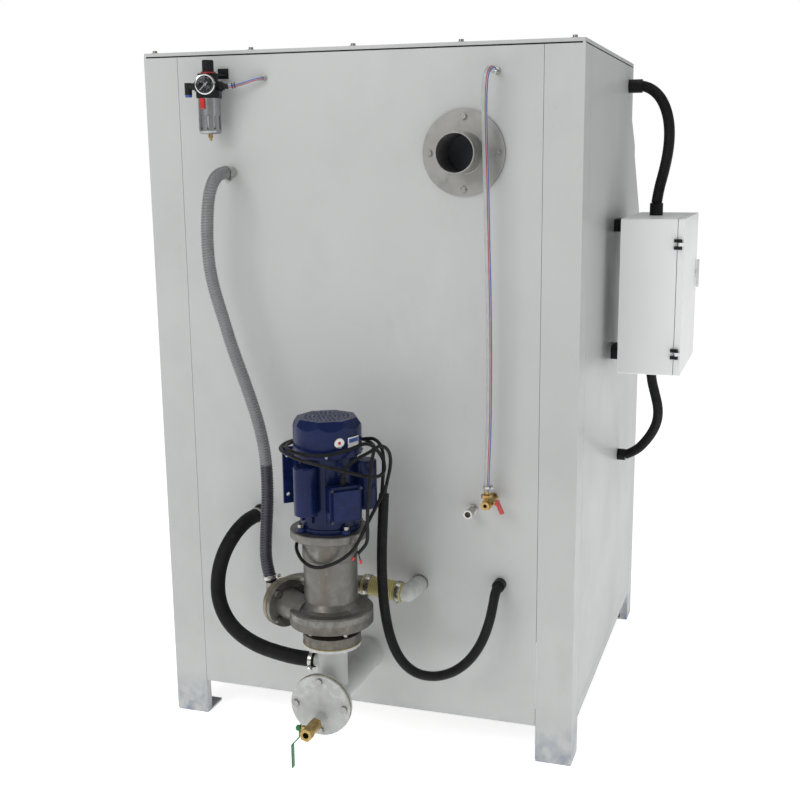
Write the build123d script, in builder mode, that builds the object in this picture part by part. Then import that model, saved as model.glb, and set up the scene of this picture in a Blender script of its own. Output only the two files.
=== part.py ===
"""Parts washer tank: cabinet, loading lid, wash chamber, pump, pipework, air unit and controls.

Millimetres. Origin on the floor in the middle of the four legs, +X to the right seen from the pump side,
+Y from the pump side through the machine to the loading side, +Z up.
"""

import os
from math import atan2, cos, degrees, radians, sin, tan

from build123d import *

os.makedirs("parts", exist_ok=True)

# ---------------------------------------------------------------- driving dimensions
WIDTH = 1200.0
DEPTH = 1174.0
PANEL_TOP = 1896.0
TOP_PLATE_H = 10.0
SHEET = 2.0
POST_SHEET = 3.0
POST_FACE = 100.0
POST_RETURN = 90.0
POST_LIP = 25.0
SEAM = 1.0
PANEL_BOTTOM = 105.0
RAIL_BOTTOM = 102.0
RAIL_TOP = 138.0
FOOT_PLATE_H = 6.0
ANCHOR_HOLE_R = 7.0

HALF_W = WIDTH / 2
PUMP_Y = -DEPTH / 2
LOAD_Y = DEPTH / 2
TOP_BACK_Y = 258.0
HOOD_KNEE_Z = 1740.0
HOOD_EDGE = (340.0, 1662.0)
SLOPE_TOP = (343.0, 1631.0)
SLOPE_FOOT = (LOAD_Y, 1339.0)
SLOPE_ANGLE = atan2(SLOPE_TOP[1] - SLOPE_FOOT[1], SLOPE_FOOT[0] - SLOPE_TOP[0])

LID_THICK = 30.0
LID_HALF_W = 498.0
LID_BOTTOM = 905.0
LID_PIVOT = (352.0, 1645.0)

CHAMBER_HALF_W = 520.0
CHAMBER_PUMP_Y = -500.0
CHAMBER_LOAD_Y = 536.0
CHAMBER_FLOOR = 310.0
CHAMBER_CEILING = 1880.0
CHAMBER_SILL = 880.0
TANK_SHEET = 3.0
SUMP_HALF_W = 200.0
SUMP_Y = (-480.0, -160.0)
SUMP_FLOOR = 180.0
TURN_CENTRE = (0.0, 20.0)
TURN_RADIUS = 445.0

PUMP_X = 15.0
PUMP_CENTRE_Y = -844.0
MOTOR_TURN = 42.0
COWL_R = 86.0
PUMP_FLANGE_R = 100.0
LANTERN_R = 69.0
VOLUTE_R = 108.0
SUCTION_R = 75.0
SUCTION_PIPE_R = 39.0
SUMP_PIPE_R = 44.5
SUMP_PIPE_Z = 260.0
BLIND_FACE_Y = -935.0
BLIND_R = 80.0
DRAIN_X = 18.0
DRAIN_Z = 228.0
DRAIN_STEM_Y = -1003.0

OUTLET_ANGLE = 62.0
OUTLET_CENTRE = Vector(-116.0, -840.0, 490.0)
OUTLET_R = 63.0

VENT_X = 298.0
VENT_Z = 1637.0
VENT_PIPE_R = 50.8
VENT_FLANGE_R = 107.5
VENT_BOLT_R = 90.0
VENT_REACH = 90.0

AIR_UNIT = Vector(-380.0, -642.0, 0.0)
AIR_TURN = 15.0

BOX_X = (644.0, 798.0)
BOX_Y = (-226.0, 211.0)
BOX_Z = (1028.0, 1460.0)
DOOR_X = (799.5, 817.0)

RUN_FIT = 0.05
UPWARD = (Align.CENTER, Align.CENTER, Align.MIN)
DOWNWARD = (Align.CENTER, Align.CENTER, Align.MAX)


def save(piece, name):
    """Label a finished sub-part and write it as its own STEP file."""
    piece.label = name
    export_step(piece, "parts/" + name + ".step")


def route_radii(route):
    """Bend radius at each corner: 0.45 of the shorter run over the tangent of half the turn."""
    radii = []
    for before, corner, after in zip(route, route[1:], route[2:]):
        run_in = Vector(*corner) - Vector(*before)
        run_out = Vector(*after) - Vector(*corner)
        turn = radians(run_in.get_angle(run_out))
        radii.append(0.45 * min(run_in.length, run_out.length) / tan(turn / 2))
    return radii


def save_tube(name, route, diameter):
    """Sweep a flexible tube along its route of straight runs and tangent arcs."""
    radii = route_radii(route)
    with BuildPart() as tube:
        with BuildLine() as path:
            FilletPolyline(*route, radius=radii)
        with BuildSketch(Plane(origin=path.line @ 0, z_dir=path.line % 0)):
            Circle(diameter / 2)
        sweep(path=path.line)
    length = sum(edge.length for edge in path.line.edges())
    expected = 3.14159265 * diameter**2 / 4 * length
    print(name, "length", round(length), "volume ratio", round(tube.part.volume / expected, 4),
          "radii in diameters", [round(r / diameter, 1) for r in radii])
    save(tube.part, name)


def round_pump(angle, radius, z):
    """Point at an angle about the pump axis, measured from -Y towards +X."""
    return (PUMP_X + radius * sin(radians(angle)), PUMP_CENTRE_Y - radius * cos(radians(angle)), z)


def plane_along_y(x, y, z):
    """Workplane whose normal is +Y, for pieces that stick out of the pump side."""
    return Plane(origin=(x, y, z), x_dir=(1, 0, 0), z_dir=(0, 1, 0))


# ---------------------------------------------------------------- corner posts and legs
def post_section(face_sign, side_sign):
    """Outline of one folded post in plan: face, side return and two inward lips."""
    x_out = side_sign * HALF_W
    y_out = face_sign * LOAD_Y
    dx = -side_sign
    dy = -face_sign
    return [
        (x_out, y_out),
        (x_out + dx * POST_FACE, y_out),
        (x_out + dx * POST_FACE, y_out + dy * POST_LIP),
        (x_out + dx * (POST_FACE - POST_SHEET), y_out + dy * POST_LIP),
        (x_out + dx * (POST_FACE - POST_SHEET), y_out + dy * POST_SHEET),
        (x_out + dx * POST_SHEET, y_out + dy * POST_SHEET),
        (x_out + dx * POST_SHEET, y_out + dy * (POST_RETURN - POST_SHEET)),
        (x_out + dx * POST_LIP, y_out + dy * (POST_RETURN - POST_SHEET)),
        (x_out + dx * POST_LIP, y_out + dy * POST_RETURN),
        (x_out, y_out + dy * POST_RETURN),
    ]


slope_plane = Plane(
    origin=(0, SLOPE_FOOT[0], SLOPE_FOOT[1]),
    x_dir=(1, 0, 0),
    z_dir=(0, sin(SLOPE_ANGLE), cos(SLOPE_ANGLE)),
).offset(-SHEET - 0.3)

with BuildPart() as corner_posts:
    for face_sign in (-1, 1):
        for side_sign in (-1, 1):
            with BuildSketch(Plane.XY.offset(FOOT_PLATE_H)):
                with BuildLine():
                    Polyline(*post_section(face_sign, side_sign), close=True)
                make_face()
            extrude(amount=(PANEL_TOP if face_sign < 0 else 1500.0) - FOOT_PLATE_H)
            with BuildSketch():
                with Locations((side_sign * (HALF_W - POST_FACE / 2), face_sign * (LOAD_Y - POST_RETURN / 2))):
                    RectangleRounded(POST_FACE, POST_RETURN, 4)
                    Circle(ANCHOR_HOLE_R, mode=Mode.SUBTRACT)
            extrude(amount=FOOT_PLATE_H)
    with BuildSketch(slope_plane):
        Rectangle(2 * WIDTH, 900)
    extrude(amount=500, mode=Mode.SUBTRACT)
save(corner_posts.part, "corner_posts")

# ---------------------------------------------------------------- outer panels
PANEL_HALF = HALF_W - POST_FACE - SEAM
WALL_HOLES = [
    (VENT_X, VENT_Z, VENT_PIPE_R + 1.2),
    (-350.0, 1591.0, 16.0),
    (-299.0, 645.0, 19.0),
    (172.0, 483.0, 24.0),
    (399.0, 504.0, 14.0),
    (382.0, 1833.0, 9.0),
    (379.0, 745.0, 9.0),
    (324.0, 708.0, 11.2),
    (-247.0, 1833.0, 8.0),
    (PUMP_X, SUMP_PIPE_Z, SUMP_PIPE_R + 1.0),
]

CHAMBER_HOLES = [
    WALL_HOLES[0],
    (-350.0, 1591.0, 17.8),
    (172.0, 483.0, 17.8),
    (-247.0, 1833.0, 8.8),
]

with BuildPart() as pump_side_panel:
    with BuildSketch(Plane(origin=(0, PUMP_Y, 0), x_dir=(1, 0, 0), z_dir=(0, -1, 0))):
        with Locations((0, (PANEL_BOTTOM + PANEL_TOP) / 2)):
            Rectangle(2 * PANEL_HALF, PANEL_TOP - PANEL_BOTTOM)
        for hole_x, hole_z, hole_r in WALL_HOLES:
            with Locations((hole_x, hole_z)):
                Circle(hole_r, mode=Mode.SUBTRACT)
    extrude(amount=-SHEET)
save(pump_side_panel.part, "pump_side_panel")

SIDE_EDGE = LOAD_Y - POST_RETURN - SEAM
with BuildPart() as side_panels:
    for side_sign in (-1, 1):
        with BuildSketch(Plane(origin=(side_sign * HALF_W, 0, 0), x_dir=(0, 1, 0), z_dir=(1, 0, 0))):
            with BuildLine():
                Polyline(
                    (-SIDE_EDGE, RAIL_TOP + SEAM),
                    (SIDE_EDGE, RAIL_TOP + SEAM),
                    (SIDE_EDGE, SLOPE_TOP[1] - (SIDE_EDGE - SLOPE_TOP[0]) * tan(SLOPE_ANGLE)),
                    SLOPE_TOP,
                    HOOD_EDGE,
                    (TOP_BACK_Y, HOOD_KNEE_Z),
                    (TOP_BACK_Y, PANEL_TOP),
                    (-SIDE_EDGE, PANEL_TOP),
                    close=True,
                )
            make_face()
        extrude(amount=-side_sign * SHEET)
save(side_panels.part, "side_panels")

with BuildPart() as base_rails:
    for side_sign in (-1, 1):
        with BuildSketch(Plane(origin=(side_sign * HALF_W, 0, 0), x_dir=(0, 1, 0), z_dir=(1, 0, 0))):
            with Locations((0, (RAIL_BOTTOM + RAIL_TOP) / 2)):
                Rectangle(2 * SIDE_EDGE, RAIL_TOP - RAIL_BOTTOM)
        extrude(amount=-side_sign * 30)
    for face_y in (PUMP_Y + 20, LOAD_Y - 20):
        with Locations((0, face_y, (RAIL_BOTTOM + RAIL_TOP) / 2)):
            Box(2 * PANEL_HALF, 30, RAIL_TOP - RAIL_BOTTOM)
save(base_rails.part, "base_rails")

with BuildPart() as load_side_panel:
    with BuildSketch(Plane(origin=(0, LOAD_Y, 0), x_dir=(-1, 0, 0), z_dir=(0, 1, 0))):
        with Locations((0, (PANEL_BOTTOM + LID_BOTTOM - 3) / 2)):
            Rectangle(2 * PANEL_HALF, LID_BOTTOM - 3 - PANEL_BOTTOM)
    extrude(amount=-SHEET)
    with Locations((0, LOAD_Y - 14, LID_BOTTOM - 3 - SHEET / 2)):
        Box(2 * PANEL_HALF, 28, SHEET)
save(load_side_panel.part, "load_side_panel")

# ---------------------------------------------------------------- hood, cheeks and top plate
HINGE_X = (-360.0, 0.0, 360.0)
HINGE_PIN_R = 4.0
KNUCKLE_R = 8.0
slope_dir = Vector(0, cos(SLOPE_ANGLE), -sin(SLOPE_ANGLE))
slope_length = (SLOPE_FOOT[0] - SLOPE_TOP[0]) / cos(SLOPE_ANGLE)

with BuildPart() as hood_header:
    with BuildSketch(Plane.YZ.offset(-HALF_W + SHEET + 0.5)):
        with BuildLine():
            Polyline(
                (TOP_BACK_Y, PANEL_TOP),
                (TOP_BACK_Y, HOOD_KNEE_Z),
                HOOD_EDGE,
                (HOOD_EDGE[0] + 2, SLOPE_TOP[1] + 6),
                (HOOD_EDGE[0], SLOPE_TOP[1] + 6),
                (HOOD_EDGE[0] - 2, HOOD_EDGE[1] - 1),
                (TOP_BACK_Y - SHEET, HOOD_KNEE_Z - 1),
                (TOP_BACK_Y - SHEET, PANEL_TOP),
                close=True,
            )
        make_face()
    extrude(amount=2 * (HALF_W - SHEET - 0.5))
    for hinge_x in HINGE_X:
        for side in (-1, 1):
            with BuildSketch(Plane.YZ.offset(hinge_x + side * 30 - 14)):
                with Locations(LID_PIVOT):
                    Circle(KNUCKLE_R)
                with Locations((LID_PIVOT[0] - 6, LID_PIVOT[1])):
                    Rectangle(8, 14)
            extrude(amount=28)
        with BuildSketch(Plane.YZ.offset(hinge_x - 44)):
            with Locations(LID_PIVOT):
                Circle(HINGE_PIN_R)
        extrude(amount=88)
    for side_sign in (-1, 1):
        cheek_mid = HALF_W - SHEET - 0.5 - 48
        cheek_plane = Plane(
            origin=(side_sign * cheek_mid, SLOPE_TOP[0], SLOPE_TOP[1]),
            x_dir=(0, slope_dir.Y, slope_dir.Z),
            z_dir=(0, sin(SLOPE_ANGLE), cos(SLOPE_ANGLE)),
        )
        with BuildSketch(cheek_plane):
            with Locations((slope_length / 2, 0)):
                Rectangle(slope_length - 12, 96)
        extrude(amount=-SHEET)
        with Locations((side_sign * cheek_mid, HOOD_EDGE[0] + 1, SLOPE_TOP[1])):
            Box(96, 3, 26)
save(hood_header.part, "hood_header")

with BuildPart() as top_plate:
    with Locations((0, (PUMP_Y + TOP_BACK_Y) / 2, PANEL_TOP + TOP_PLATE_H / 2)):
        Box(WIDTH, TOP_BACK_Y - PUMP_Y, TOP_PLATE_H)
    with Locations((0, (PUMP_Y + TOP_BACK_Y) / 2, PANEL_TOP + (TOP_PLATE_H - SHEET) / 2)):
        Box(WIDTH - 2 * 30, TOP_BACK_Y - PUMP_Y - 2 * 30, TOP_PLATE_H - SHEET, mode=Mode.SUBTRACT)
    edges = top_plate.edges().filter_by(Axis.Z).sort_by(Axis.Y)
    fillet(edges[:2], 3)
save(top_plate.part, "top_plate")

# ---------------------------------------------------------------- wash chamber, sump and inner equipment
GAP = 0.2
with BuildPart() as wash_tank:
    side_outline = [
        (CHAMBER_PUMP_Y, CHAMBER_FLOOR),
        (CHAMBER_LOAD_Y, CHAMBER_FLOOR),
        (CHAMBER_LOAD_Y, 1380.0),
        (330.0, 1610.0),
        (245.0, 1700.0),
        (245.0, CHAMBER_CEILING),
        (CHAMBER_PUMP_Y, CHAMBER_CEILING),
    ]
    for side_sign in (-1, 1):
        with BuildSketch(Plane(origin=(side_sign * CHAMBER_HALF_W, 0, 0), x_dir=(0, 1, 0), z_dir=(1, 0, 0))):
            with BuildLine():
                Polyline(*side_outline, close=True)
            make_face()
        extrude(amount=side_sign * TANK_SHEET)
    inner_w = 2 * (CHAMBER_HALF_W - GAP)
    with BuildSketch(Plane(origin=(0, CHAMBER_PUMP_Y, 0), x_dir=(1, 0, 0), z_dir=(0, -1, 0))):
        with Locations((0, (CHAMBER_FLOOR + CHAMBER_CEILING) / 2)):
            Rectangle(inner_w, CHAMBER_CEILING - CHAMBER_FLOOR)
        for hole_x, hole_z, hole_r in CHAMBER_HOLES:
            with Locations((hole_x, hole_z)):
                Circle(hole_r, mode=Mode.SUBTRACT)
    extrude(amount=-TANK_SHEET)
    with Locations((0, CHAMBER_LOAD_Y - TANK_SHEET / 2, (CHAMBER_FLOOR + CHAMBER_SILL) / 2)):
        Box(inner_w, TANK_SHEET, CHAMBER_SILL - CHAMBER_FLOOR)
    with Locations((0, (CHAMBER_PUMP_Y + 245) / 2 + 2, CHAMBER_CEILING - TANK_SHEET / 2)):
        Box(inner_w, 245 - CHAMBER_PUMP_Y - 8, TANK_SHEET)
    floor_z = CHAMBER_FLOOR + TANK_SHEET / 2
    floor_y0 = CHAMBER_PUMP_Y + TANK_SHEET + GAP
    floor_y1 = CHAMBER_LOAD_Y - TANK_SHEET - GAP
    with BuildSketch(Plane.XY.offset(CHAMBER_FLOOR)):
        with Locations((0, (SUMP_Y[1] + floor_y1) / 2)):
            Rectangle(inner_w, floor_y1 - SUMP_Y[1])
        with Locations(TURN_CENTRE):
            Circle(25, mode=Mode.SUBTRACT)
    extrude(amount=TANK_SHEET)
    with Locations((0, (floor_y0 + SUMP_Y[0] - GAP) / 2, floor_z)):
        Box(inner_w, SUMP_Y[0] - GAP - floor_y0, TANK_SHEET)
    side_w = CHAMBER_HALF_W - SUMP_HALF_W
    sump_mid = (SUMP_Y[0] + SUMP_Y[1]) / 2
    sump_deep = SUMP_Y[1] - SUMP_Y[0]
    sump_high = CHAMBER_FLOOR - SUMP_FLOOR
    for side_sign in (-1, 1):
        with Locations((side_sign * (SUMP_HALF_W + side_w / 2), sump_mid, floor_z)):
            Box(side_w - 2 * GAP, sump_deep - 2 * GAP, TANK_SHEET)
        with Locations((side_sign * (SUMP_HALF_W + TANK_SHEET / 2), sump_mid, SUMP_FLOOR + sump_high / 2)):
            Box(TANK_SHEET, sump_deep, sump_high - GAP)
    with Locations((0, SUMP_Y[1] - TANK_SHEET / 2, SUMP_FLOOR + sump_high / 2)):
        Box(2 * SUMP_HALF_W - GAP, TANK_SHEET, sump_high - GAP)
    with BuildSketch(Plane(origin=(0, SUMP_Y[0], 0), x_dir=(1, 0, 0), z_dir=(0, -1, 0))):
        with Locations((0, SUMP_FLOOR + sump_high / 2)):
            Rectangle(2 * SUMP_HALF_W - GAP, sump_high - GAP)
        with Locations((PUMP_X, SUMP_PIPE_Z)):
            Circle(SUMP_PIPE_R - 4, mode=Mode.SUBTRACT)
    extrude(amount=-TANK_SHEET)
    with Locations((0, sump_mid, SUMP_FLOOR - TANK_SHEET / 2)):
        Box(2 * SUMP_HALF_W + 2 * TANK_SHEET, sump_deep, TANK_SHEET)
save(wash_tank.part, "wash_tank")

with BuildPart() as turntable_drive:
    with Locations((*TURN_CENTRE, CHAMBER_FLOOR + TANK_SHEET)):
        Cylinder(95, 8, align=UPWARD)
        Cylinder(58, 96, align=UPWARD)
    with Locations((*TURN_CENTRE, CHAMBER_FLOOR - 50)):
        Box(150, 150, 100)
        with Locations((0, 175, -5)):
            Cylinder(52, 200, rotation=(90, 0, 0))
    with Locations((*TURN_CENTRE, CHAMBER_FLOOR)):
        Cylinder(20 + RUN_FIT, 260, mode=Mode.SUBTRACT)
save(turntable_drive.part, "turntable_drive")

TURN_Z = CHAMBER_FLOOR + 125.0
with BuildPart() as turntable:
    with Locations((*TURN_CENTRE, TURN_Z - 14)):
        Cylinder(20, 190, align=DOWNWARD)
        Cylinder(55, 28, align=UPWARD)
    with BuildSketch(Plane.XY.offset(TURN_Z)):
        with Locations(TURN_CENTRE):
            for ring_r in (TURN_RADIUS, 340.0, 230.0, 130.0):
                Circle(ring_r)
                Circle(ring_r - 14, mode=Mode.SUBTRACT)
            with PolarLocations(0, 8):
                with Locations((TURN_RADIUS / 2, 0)):
                    Rectangle(TURN_RADIUS - 10, 16)
            Circle(52)
    extrude(amount=22)
save(turntable.part, "turntable")

HEATER_Z = CHAMBER_FLOOR + 50.0
with BuildPart() as heater_elements:
    for row_y in (230.0, 370.0):
        with BuildLine() as heater_path:
            FilletPolyline(
                (-CHAMBER_HALF_W + 4, row_y, HEATER_Z),
                (360, row_y, HEATER_Z),
                (360, row_y + 70, HEATER_Z),
                (-CHAMBER_HALF_W + 4, row_y + 70, HEATER_Z),
                radius=30,
            )
        with BuildSketch(Plane(origin=heater_path.line @ 0, z_dir=heater_path.line % 0)):
            Circle(8)
        sweep(path=heater_path.line)
        with Locations((-CHAMBER_HALF_W + 4, row_y + 35, HEATER_Z)):
            Box(8, 110, 60)
save(heater_elements.part, "heater_elements")

STRAINER_MID = (SUMP_Y[0] + SUMP_Y[1]) / 2
with BuildPart() as sump_strainer:
    with Locations((0, STRAINER_MID, CHAMBER_FLOOR + TANK_SHEET + 1)):
        Box(424, 336, 2)
    with Locations((0, STRAINER_MID, CHAMBER_FLOOR - 38)):
        Box(380, 296, 84)
        with Locations((0, 0, 4)):
            Box(376, 292, 90, mode=Mode.SUBTRACT)
    with Locations((0, STRAINER_MID, CHAMBER_FLOOR - 80)):
        with GridLocations(60, 34, 6, 8):
            Box(46, 8, 12, mode=Mode.SUBTRACT)
save(sump_strainer.part, "sump_strainer")

SPRAY_R = 17.0
SPRAY_NOZZLES = ((-350, -420), (-350, -330), (-225, -125), (-100, 60), (-100, 140), (-100, 220))
with BuildPart() as spray_pipes:
    pipe_routes = (
        (
            [(-350, -560, 1591), (-350, -250, 1591), (-100, 0, 1591), (-100, 230, 1591)],
            SPRAY_R,
            90,
        ),
        ([(172, -560, 483), (172, -470, 483), (172, -470, 1400)], SPRAY_R, 26),
        ([(-247, -560, 1833), (-247, -200, 1833), (-120, 200, 1833)], 8.0, 60),
    )
    for route, pipe_r, bend in pipe_routes:
        with BuildLine() as pipe_path:
            FilletPolyline(*route, radius=bend)
        with BuildSketch(Plane(origin=pipe_path.line @ 0, z_dir=pipe_path.line % 0)):
            Circle(pipe_r)
        sweep(path=pipe_path.line)
    for nozzle_x, nozzle_y in SPRAY_NOZZLES:
        with Locations((nozzle_x, nozzle_y, 1591 - SPRAY_R - 8)):
            Cone(5, 11, 26)
    for nozzle_z in (620, 780, 940, 1100, 1260, 1385):
        with Locations((172, -470 + SPRAY_R + 8, nozzle_z)):
            Cone(11, 5, 26, rotation=(-90, 0, 0))
save(spray_pipes.part, "spray_pipes")

# ---------------------------------------------------------------- loading lid
inward = Vector(0, -sin(SLOPE_ANGLE), -cos(SLOPE_ANGLE))


def lid_profile(outer, inner, top_trim, bottom):
    """Folded outline of the lid between two depths below its outer skin, as (y, z) points."""
    points = []
    for depth in (outer, inner):
        start = Vector(0, 345.0, SLOPE_TOP[1] - 2 * tan(SLOPE_ANGLE)) + inward * depth
        start = start + slope_dir * top_trim
        corner_y = SLOPE_FOOT[0] - depth
        on_slope = Vector(0, *SLOPE_FOOT) + inward * depth
        run = (corner_y - on_slope.Y) / slope_dir.Y
        corner = on_slope + slope_dir * run
        side = [(start.Y, start.Z), (corner.Y, corner.Z), (corner_y, bottom)]
        points += side if depth == outer else side[::-1]
    return points


with BuildPart() as lid_shell:
    with BuildSketch(Plane.YZ.offset(-LID_HALF_W)):
        with BuildLine():
            Polyline(*lid_profile(0, LID_THICK, 2, LID_BOTTOM), close=True)
        make_face()
    extrude(amount=2 * LID_HALF_W)
    with BuildSketch(Plane.YZ.offset(-LID_HALF_W + SHEET)):
        with BuildLine():
            Polyline(*lid_profile(SHEET, LID_THICK + 4, 2 + SHEET, LID_BOTTOM + SHEET), close=True)
        make_face()
    extrude(amount=2 * (LID_HALF_W - SHEET), mode=Mode.SUBTRACT)
    with Locations((0, LOAD_Y - 1, 945)):
        Cylinder(8 + RUN_FIT, 12, rotation=(90, 0, 0), mode=Mode.SUBTRACT)
    for hinge_x in HINGE_X:
        with BuildSketch(Plane.YZ.offset(hinge_x - 15.5)):
            with Locations(LID_PIVOT):
                Circle(KNUCKLE_R)
            with BuildLine():
                Polyline(
                    (LID_PIVOT[0] - 3.5, LID_PIVOT[1] - 6),
                    (LID_PIVOT[0] + 7, LID_PIVOT[1]),
                    (LID_PIVOT[0] + 21, SLOPE_TOP[1] - 16),
                    (LID_PIVOT[0] + 17, SLOPE_TOP[1] - 33),
                    (LID_PIVOT[0] - 3.5, SLOPE_TOP[1] - 9),
                    close=True,
                )
            make_face()
            with Locations(LID_PIVOT):
                Circle(HINGE_PIN_R + RUN_FIT, mode=Mode.SUBTRACT)
        extrude(amount=31)
save(lid_shell.part, "lid_shell")

with BuildPart() as lid_seal:
    with BuildSketch(Plane.YZ.offset(-LID_HALF_W)):
        with BuildLine():
            Polyline(*lid_profile(LID_THICK, LID_THICK + 9, 8, LID_BOTTOM + 2), close=True)
        make_face()
    extrude(amount=2 * LID_HALF_W)
    with BuildSketch(Plane.YZ.offset(-LID_HALF_W + 14)):
        with BuildLine():
            Polyline(*lid_profile(LID_THICK - 1, LID_THICK + 12, 22, LID_BOTTOM + 16), close=True)
        make_face()
    extrude(amount=2 * (LID_HALF_W - 14), mode=Mode.SUBTRACT)
save(lid_seal.part, "lid_seal")

LATCH_Z = 945.0
with BuildPart() as lid_latch:
    with Locations((0, LOAD_Y + 4, LATCH_Z)):
        Cylinder(26, 7.4, rotation=(90, 0, 0))
        with Locations((0, 12, 0)):
            Cylinder(11, 20, rotation=(90, 0, 0))
        with Locations((0, 26, 0)):
            Box(120, 16, 24)
    with Locations((0, LOAD_Y - 22, LATCH_Z)):
        Cylinder(8, 52, rotation=(90, 0, 0))
    with Locations((0, LOAD_Y - 45.5, LATCH_Z - 24)):
        Box(22, 5, 74)
    fillet(lid_latch.edges().filter_by(Axis.Y).group_by(Axis.Y)[-1], 5)
save(lid_latch.part, "lid_latch")

# ---------------------------------------------------------------- vent spigot
with BuildPart() as vent_spigot:
    with BuildSketch(Plane(origin=(VENT_X, PUMP_Y - 8, VENT_Z), x_dir=(1, 0, 0), z_dir=(0, 1, 0))):
        Circle(VENT_FLANGE_R)
        with PolarLocations(VENT_BOLT_R, 4):
            Circle(5.2, mode=Mode.SUBTRACT)
    extrude(amount=8)
    with Locations((VENT_X, PUMP_Y - VENT_REACH, VENT_Z)):
        Cylinder(
            VENT_PIPE_R,
            VENT_REACH + CHAMBER_PUMP_Y - PUMP_Y,
            rotation=(-90, 0, 0),
            align=UPWARD,
        )
        Cylinder(VENT_PIPE_R - 3, 500, rotation=(-90, 0, 0), mode=Mode.SUBTRACT)
save(vent_spigot.part, "vent_spigot")

# ---------------------------------------------------------------- air filter regulator
air_plane = Plane(
    origin=AIR_UNIT,
    x_dir=(cos(radians(AIR_TURN)), sin(radians(AIR_TURN)), 0),
    z_dir=(0, 0, 1),
)
GAUGE_Z = 1815.0
PORT_Z = 1812.0
GAUGE_FACE = 46.0
BOWL_TOP = 1782.0

with BuildPart(air_plane) as regulator_body:
    with Locations((0, 0, 1792)):
        Box(60, 50, 20)
    fillet(regulator_body.edges().filter_by(Axis.Z), 9)
    with Locations((0, 0, 1822)):
        Cylinder(25, 42)
    with Locations((0, 0, PORT_Z)):
        Cylinder(13, 72, rotation=(0, 90, 0))
    with Locations((0, -13, GAUGE_Z)):
        Cylinder(11, 24, rotation=(90, 0, 0))
    with Locations((0, 0, 1845)):
        Cylinder(19, 8)
    with Locations((0, 0, 1849)):
        Cylinder(6 + RUN_FIT, 30, mode=Mode.SUBTRACT)
    with Locations((-35, 0, PORT_Z)):
        Cylinder(9, 21, rotation=(0, -90, 0), align=UPWARD)
    with Locations((-54, 0, PORT_Z + 9)):
        Cylinder(9.5, 30, align=DOWNWARD)
    with Locations((-54, 0, PORT_Z - 21)):
        Cylinder(8, 6, align=DOWNWARD)
        Cylinder(4.1, 22, mode=Mode.SUBTRACT)
    with Locations((35, 0, PORT_Z)):
        Cylinder(9, 7, rotation=(0, 90, 0), align=UPWARD)
        Cylinder(6.5, 17, rotation=(0, 90, 0), align=UPWARD)
save(regulator_body.part, "regulator_body")

with BuildPart(air_plane) as regulator_knob:
    with Locations((0, 0, 1849.3)):
        Cylinder(15, 29, align=UPWARD)
    chamfer(regulator_knob.edges().group_by(Axis.Z)[-1], 1.5)
    with Locations((0, 0, 1850)):
        Cylinder(6, 24)
    with PolarLocations(15.4, 24):
        with Locations((0, 0, 1864)):
            Cylinder(1.1, 22, mode=Mode.SUBTRACT)
save(regulator_knob.part, "regulator_knob")

with BuildPart(air_plane) as gauge_case:
    with Locations((0, -GAUGE_FACE + 10.5, GAUGE_Z)):
        Cylinder(26, 21, rotation=(90, 0, 0))
    with Locations((0, -GAUGE_FACE, GAUGE_Z)):
        Cylinder(22.5, 10, rotation=(90, 0, 0), mode=Mode.SUBTRACT)
    with Locations((0, -GAUGE_FACE + 4, GAUGE_Z)):
        Cylinder(1.2, 5, rotation=(90, 0, 0))
save(gauge_case.part, "gauge_case")

with BuildPart(air_plane) as gauge_needle:
    with Locations((0, -GAUGE_FACE + 3, GAUGE_Z)):
        Cylinder(3, 1.4, rotation=(90, 0, 0))
        with Locations(Location((0, 0, 0), (0, -45, 0))):
            with Locations((-6, 0, 0)):
                Box(28, 0.9, 1.8)
        Cylinder(1.2 + RUN_FIT, 5, rotation=(90, 0, 0), mode=Mode.SUBTRACT)
save(gauge_needle.part, "gauge_needle")

with BuildPart(air_plane) as filter_bowl:
    with Locations((0, 0, BOWL_TOP - 0.3)):
        Cylinder(29, 91, align=DOWNWARD)
    fillet(filter_bowl.edges().group_by(Axis.Z)[0], 8)
    with Locations((0, 0, BOWL_TOP)):
        Cylinder(26.5, 86, align=DOWNWARD, mode=Mode.SUBTRACT)
    with PolarLocations(28, 10, start_angle=18):
        with Locations((0, 0, 1719.5)):
            Box(10, 5.6, 35, mode=Mode.SUBTRACT)
    with Locations((0, 0, 1690)):
        Cylinder(3 + RUN_FIT, 20, mode=Mode.SUBTRACT)
save(filter_bowl.part, "filter_bowl")

with BuildPart(air_plane) as bowl_drain:
    with Locations((0, 0, 1690.4)):
        Cylinder(6, 9, align=DOWNWARD)
        Cylinder(3, 9)
    with Locations((0, 0, 1682)):
        Cylinder(3.6, 8, align=DOWNWARD)
save(bowl_drain.part, "bowl_drain")

LOCK_ANGLE = -110.0
with BuildPart(air_plane) as bowl_lock:
    with Locations(Location((0, 0, 1767.5), (0, 0, LOCK_ANGLE))):
        with Locations((32.3, 0, 0)):
            Box(6, 11, 27)
    fillet(bowl_lock.edges().group_by(Axis.Z)[0], 2)
save(bowl_lock.part, "bowl_lock")

# ---------------------------------------------------------------- pump and motor
pump_plane = Plane(
    origin=(PUMP_X, PUMP_CENTRE_Y, 0),
    x_dir=(cos(radians(MOTOR_TURN)), sin(radians(MOTOR_TURN)), 0),
    z_dir=(0, 0, 1),
)
COWL_Z = (905.0, 962.0, 997.0)
CROWN_APOTHEM = (94.0, 71.0)
CROWN_TURN = 10.0
MOTOR_Z = (710.0, 905.0)
FLANGE_Z = (688.0, 710.0)
RIM_Z = (455.0, 478.0, 500.0)
SHAFT_R = 12.0

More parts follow.
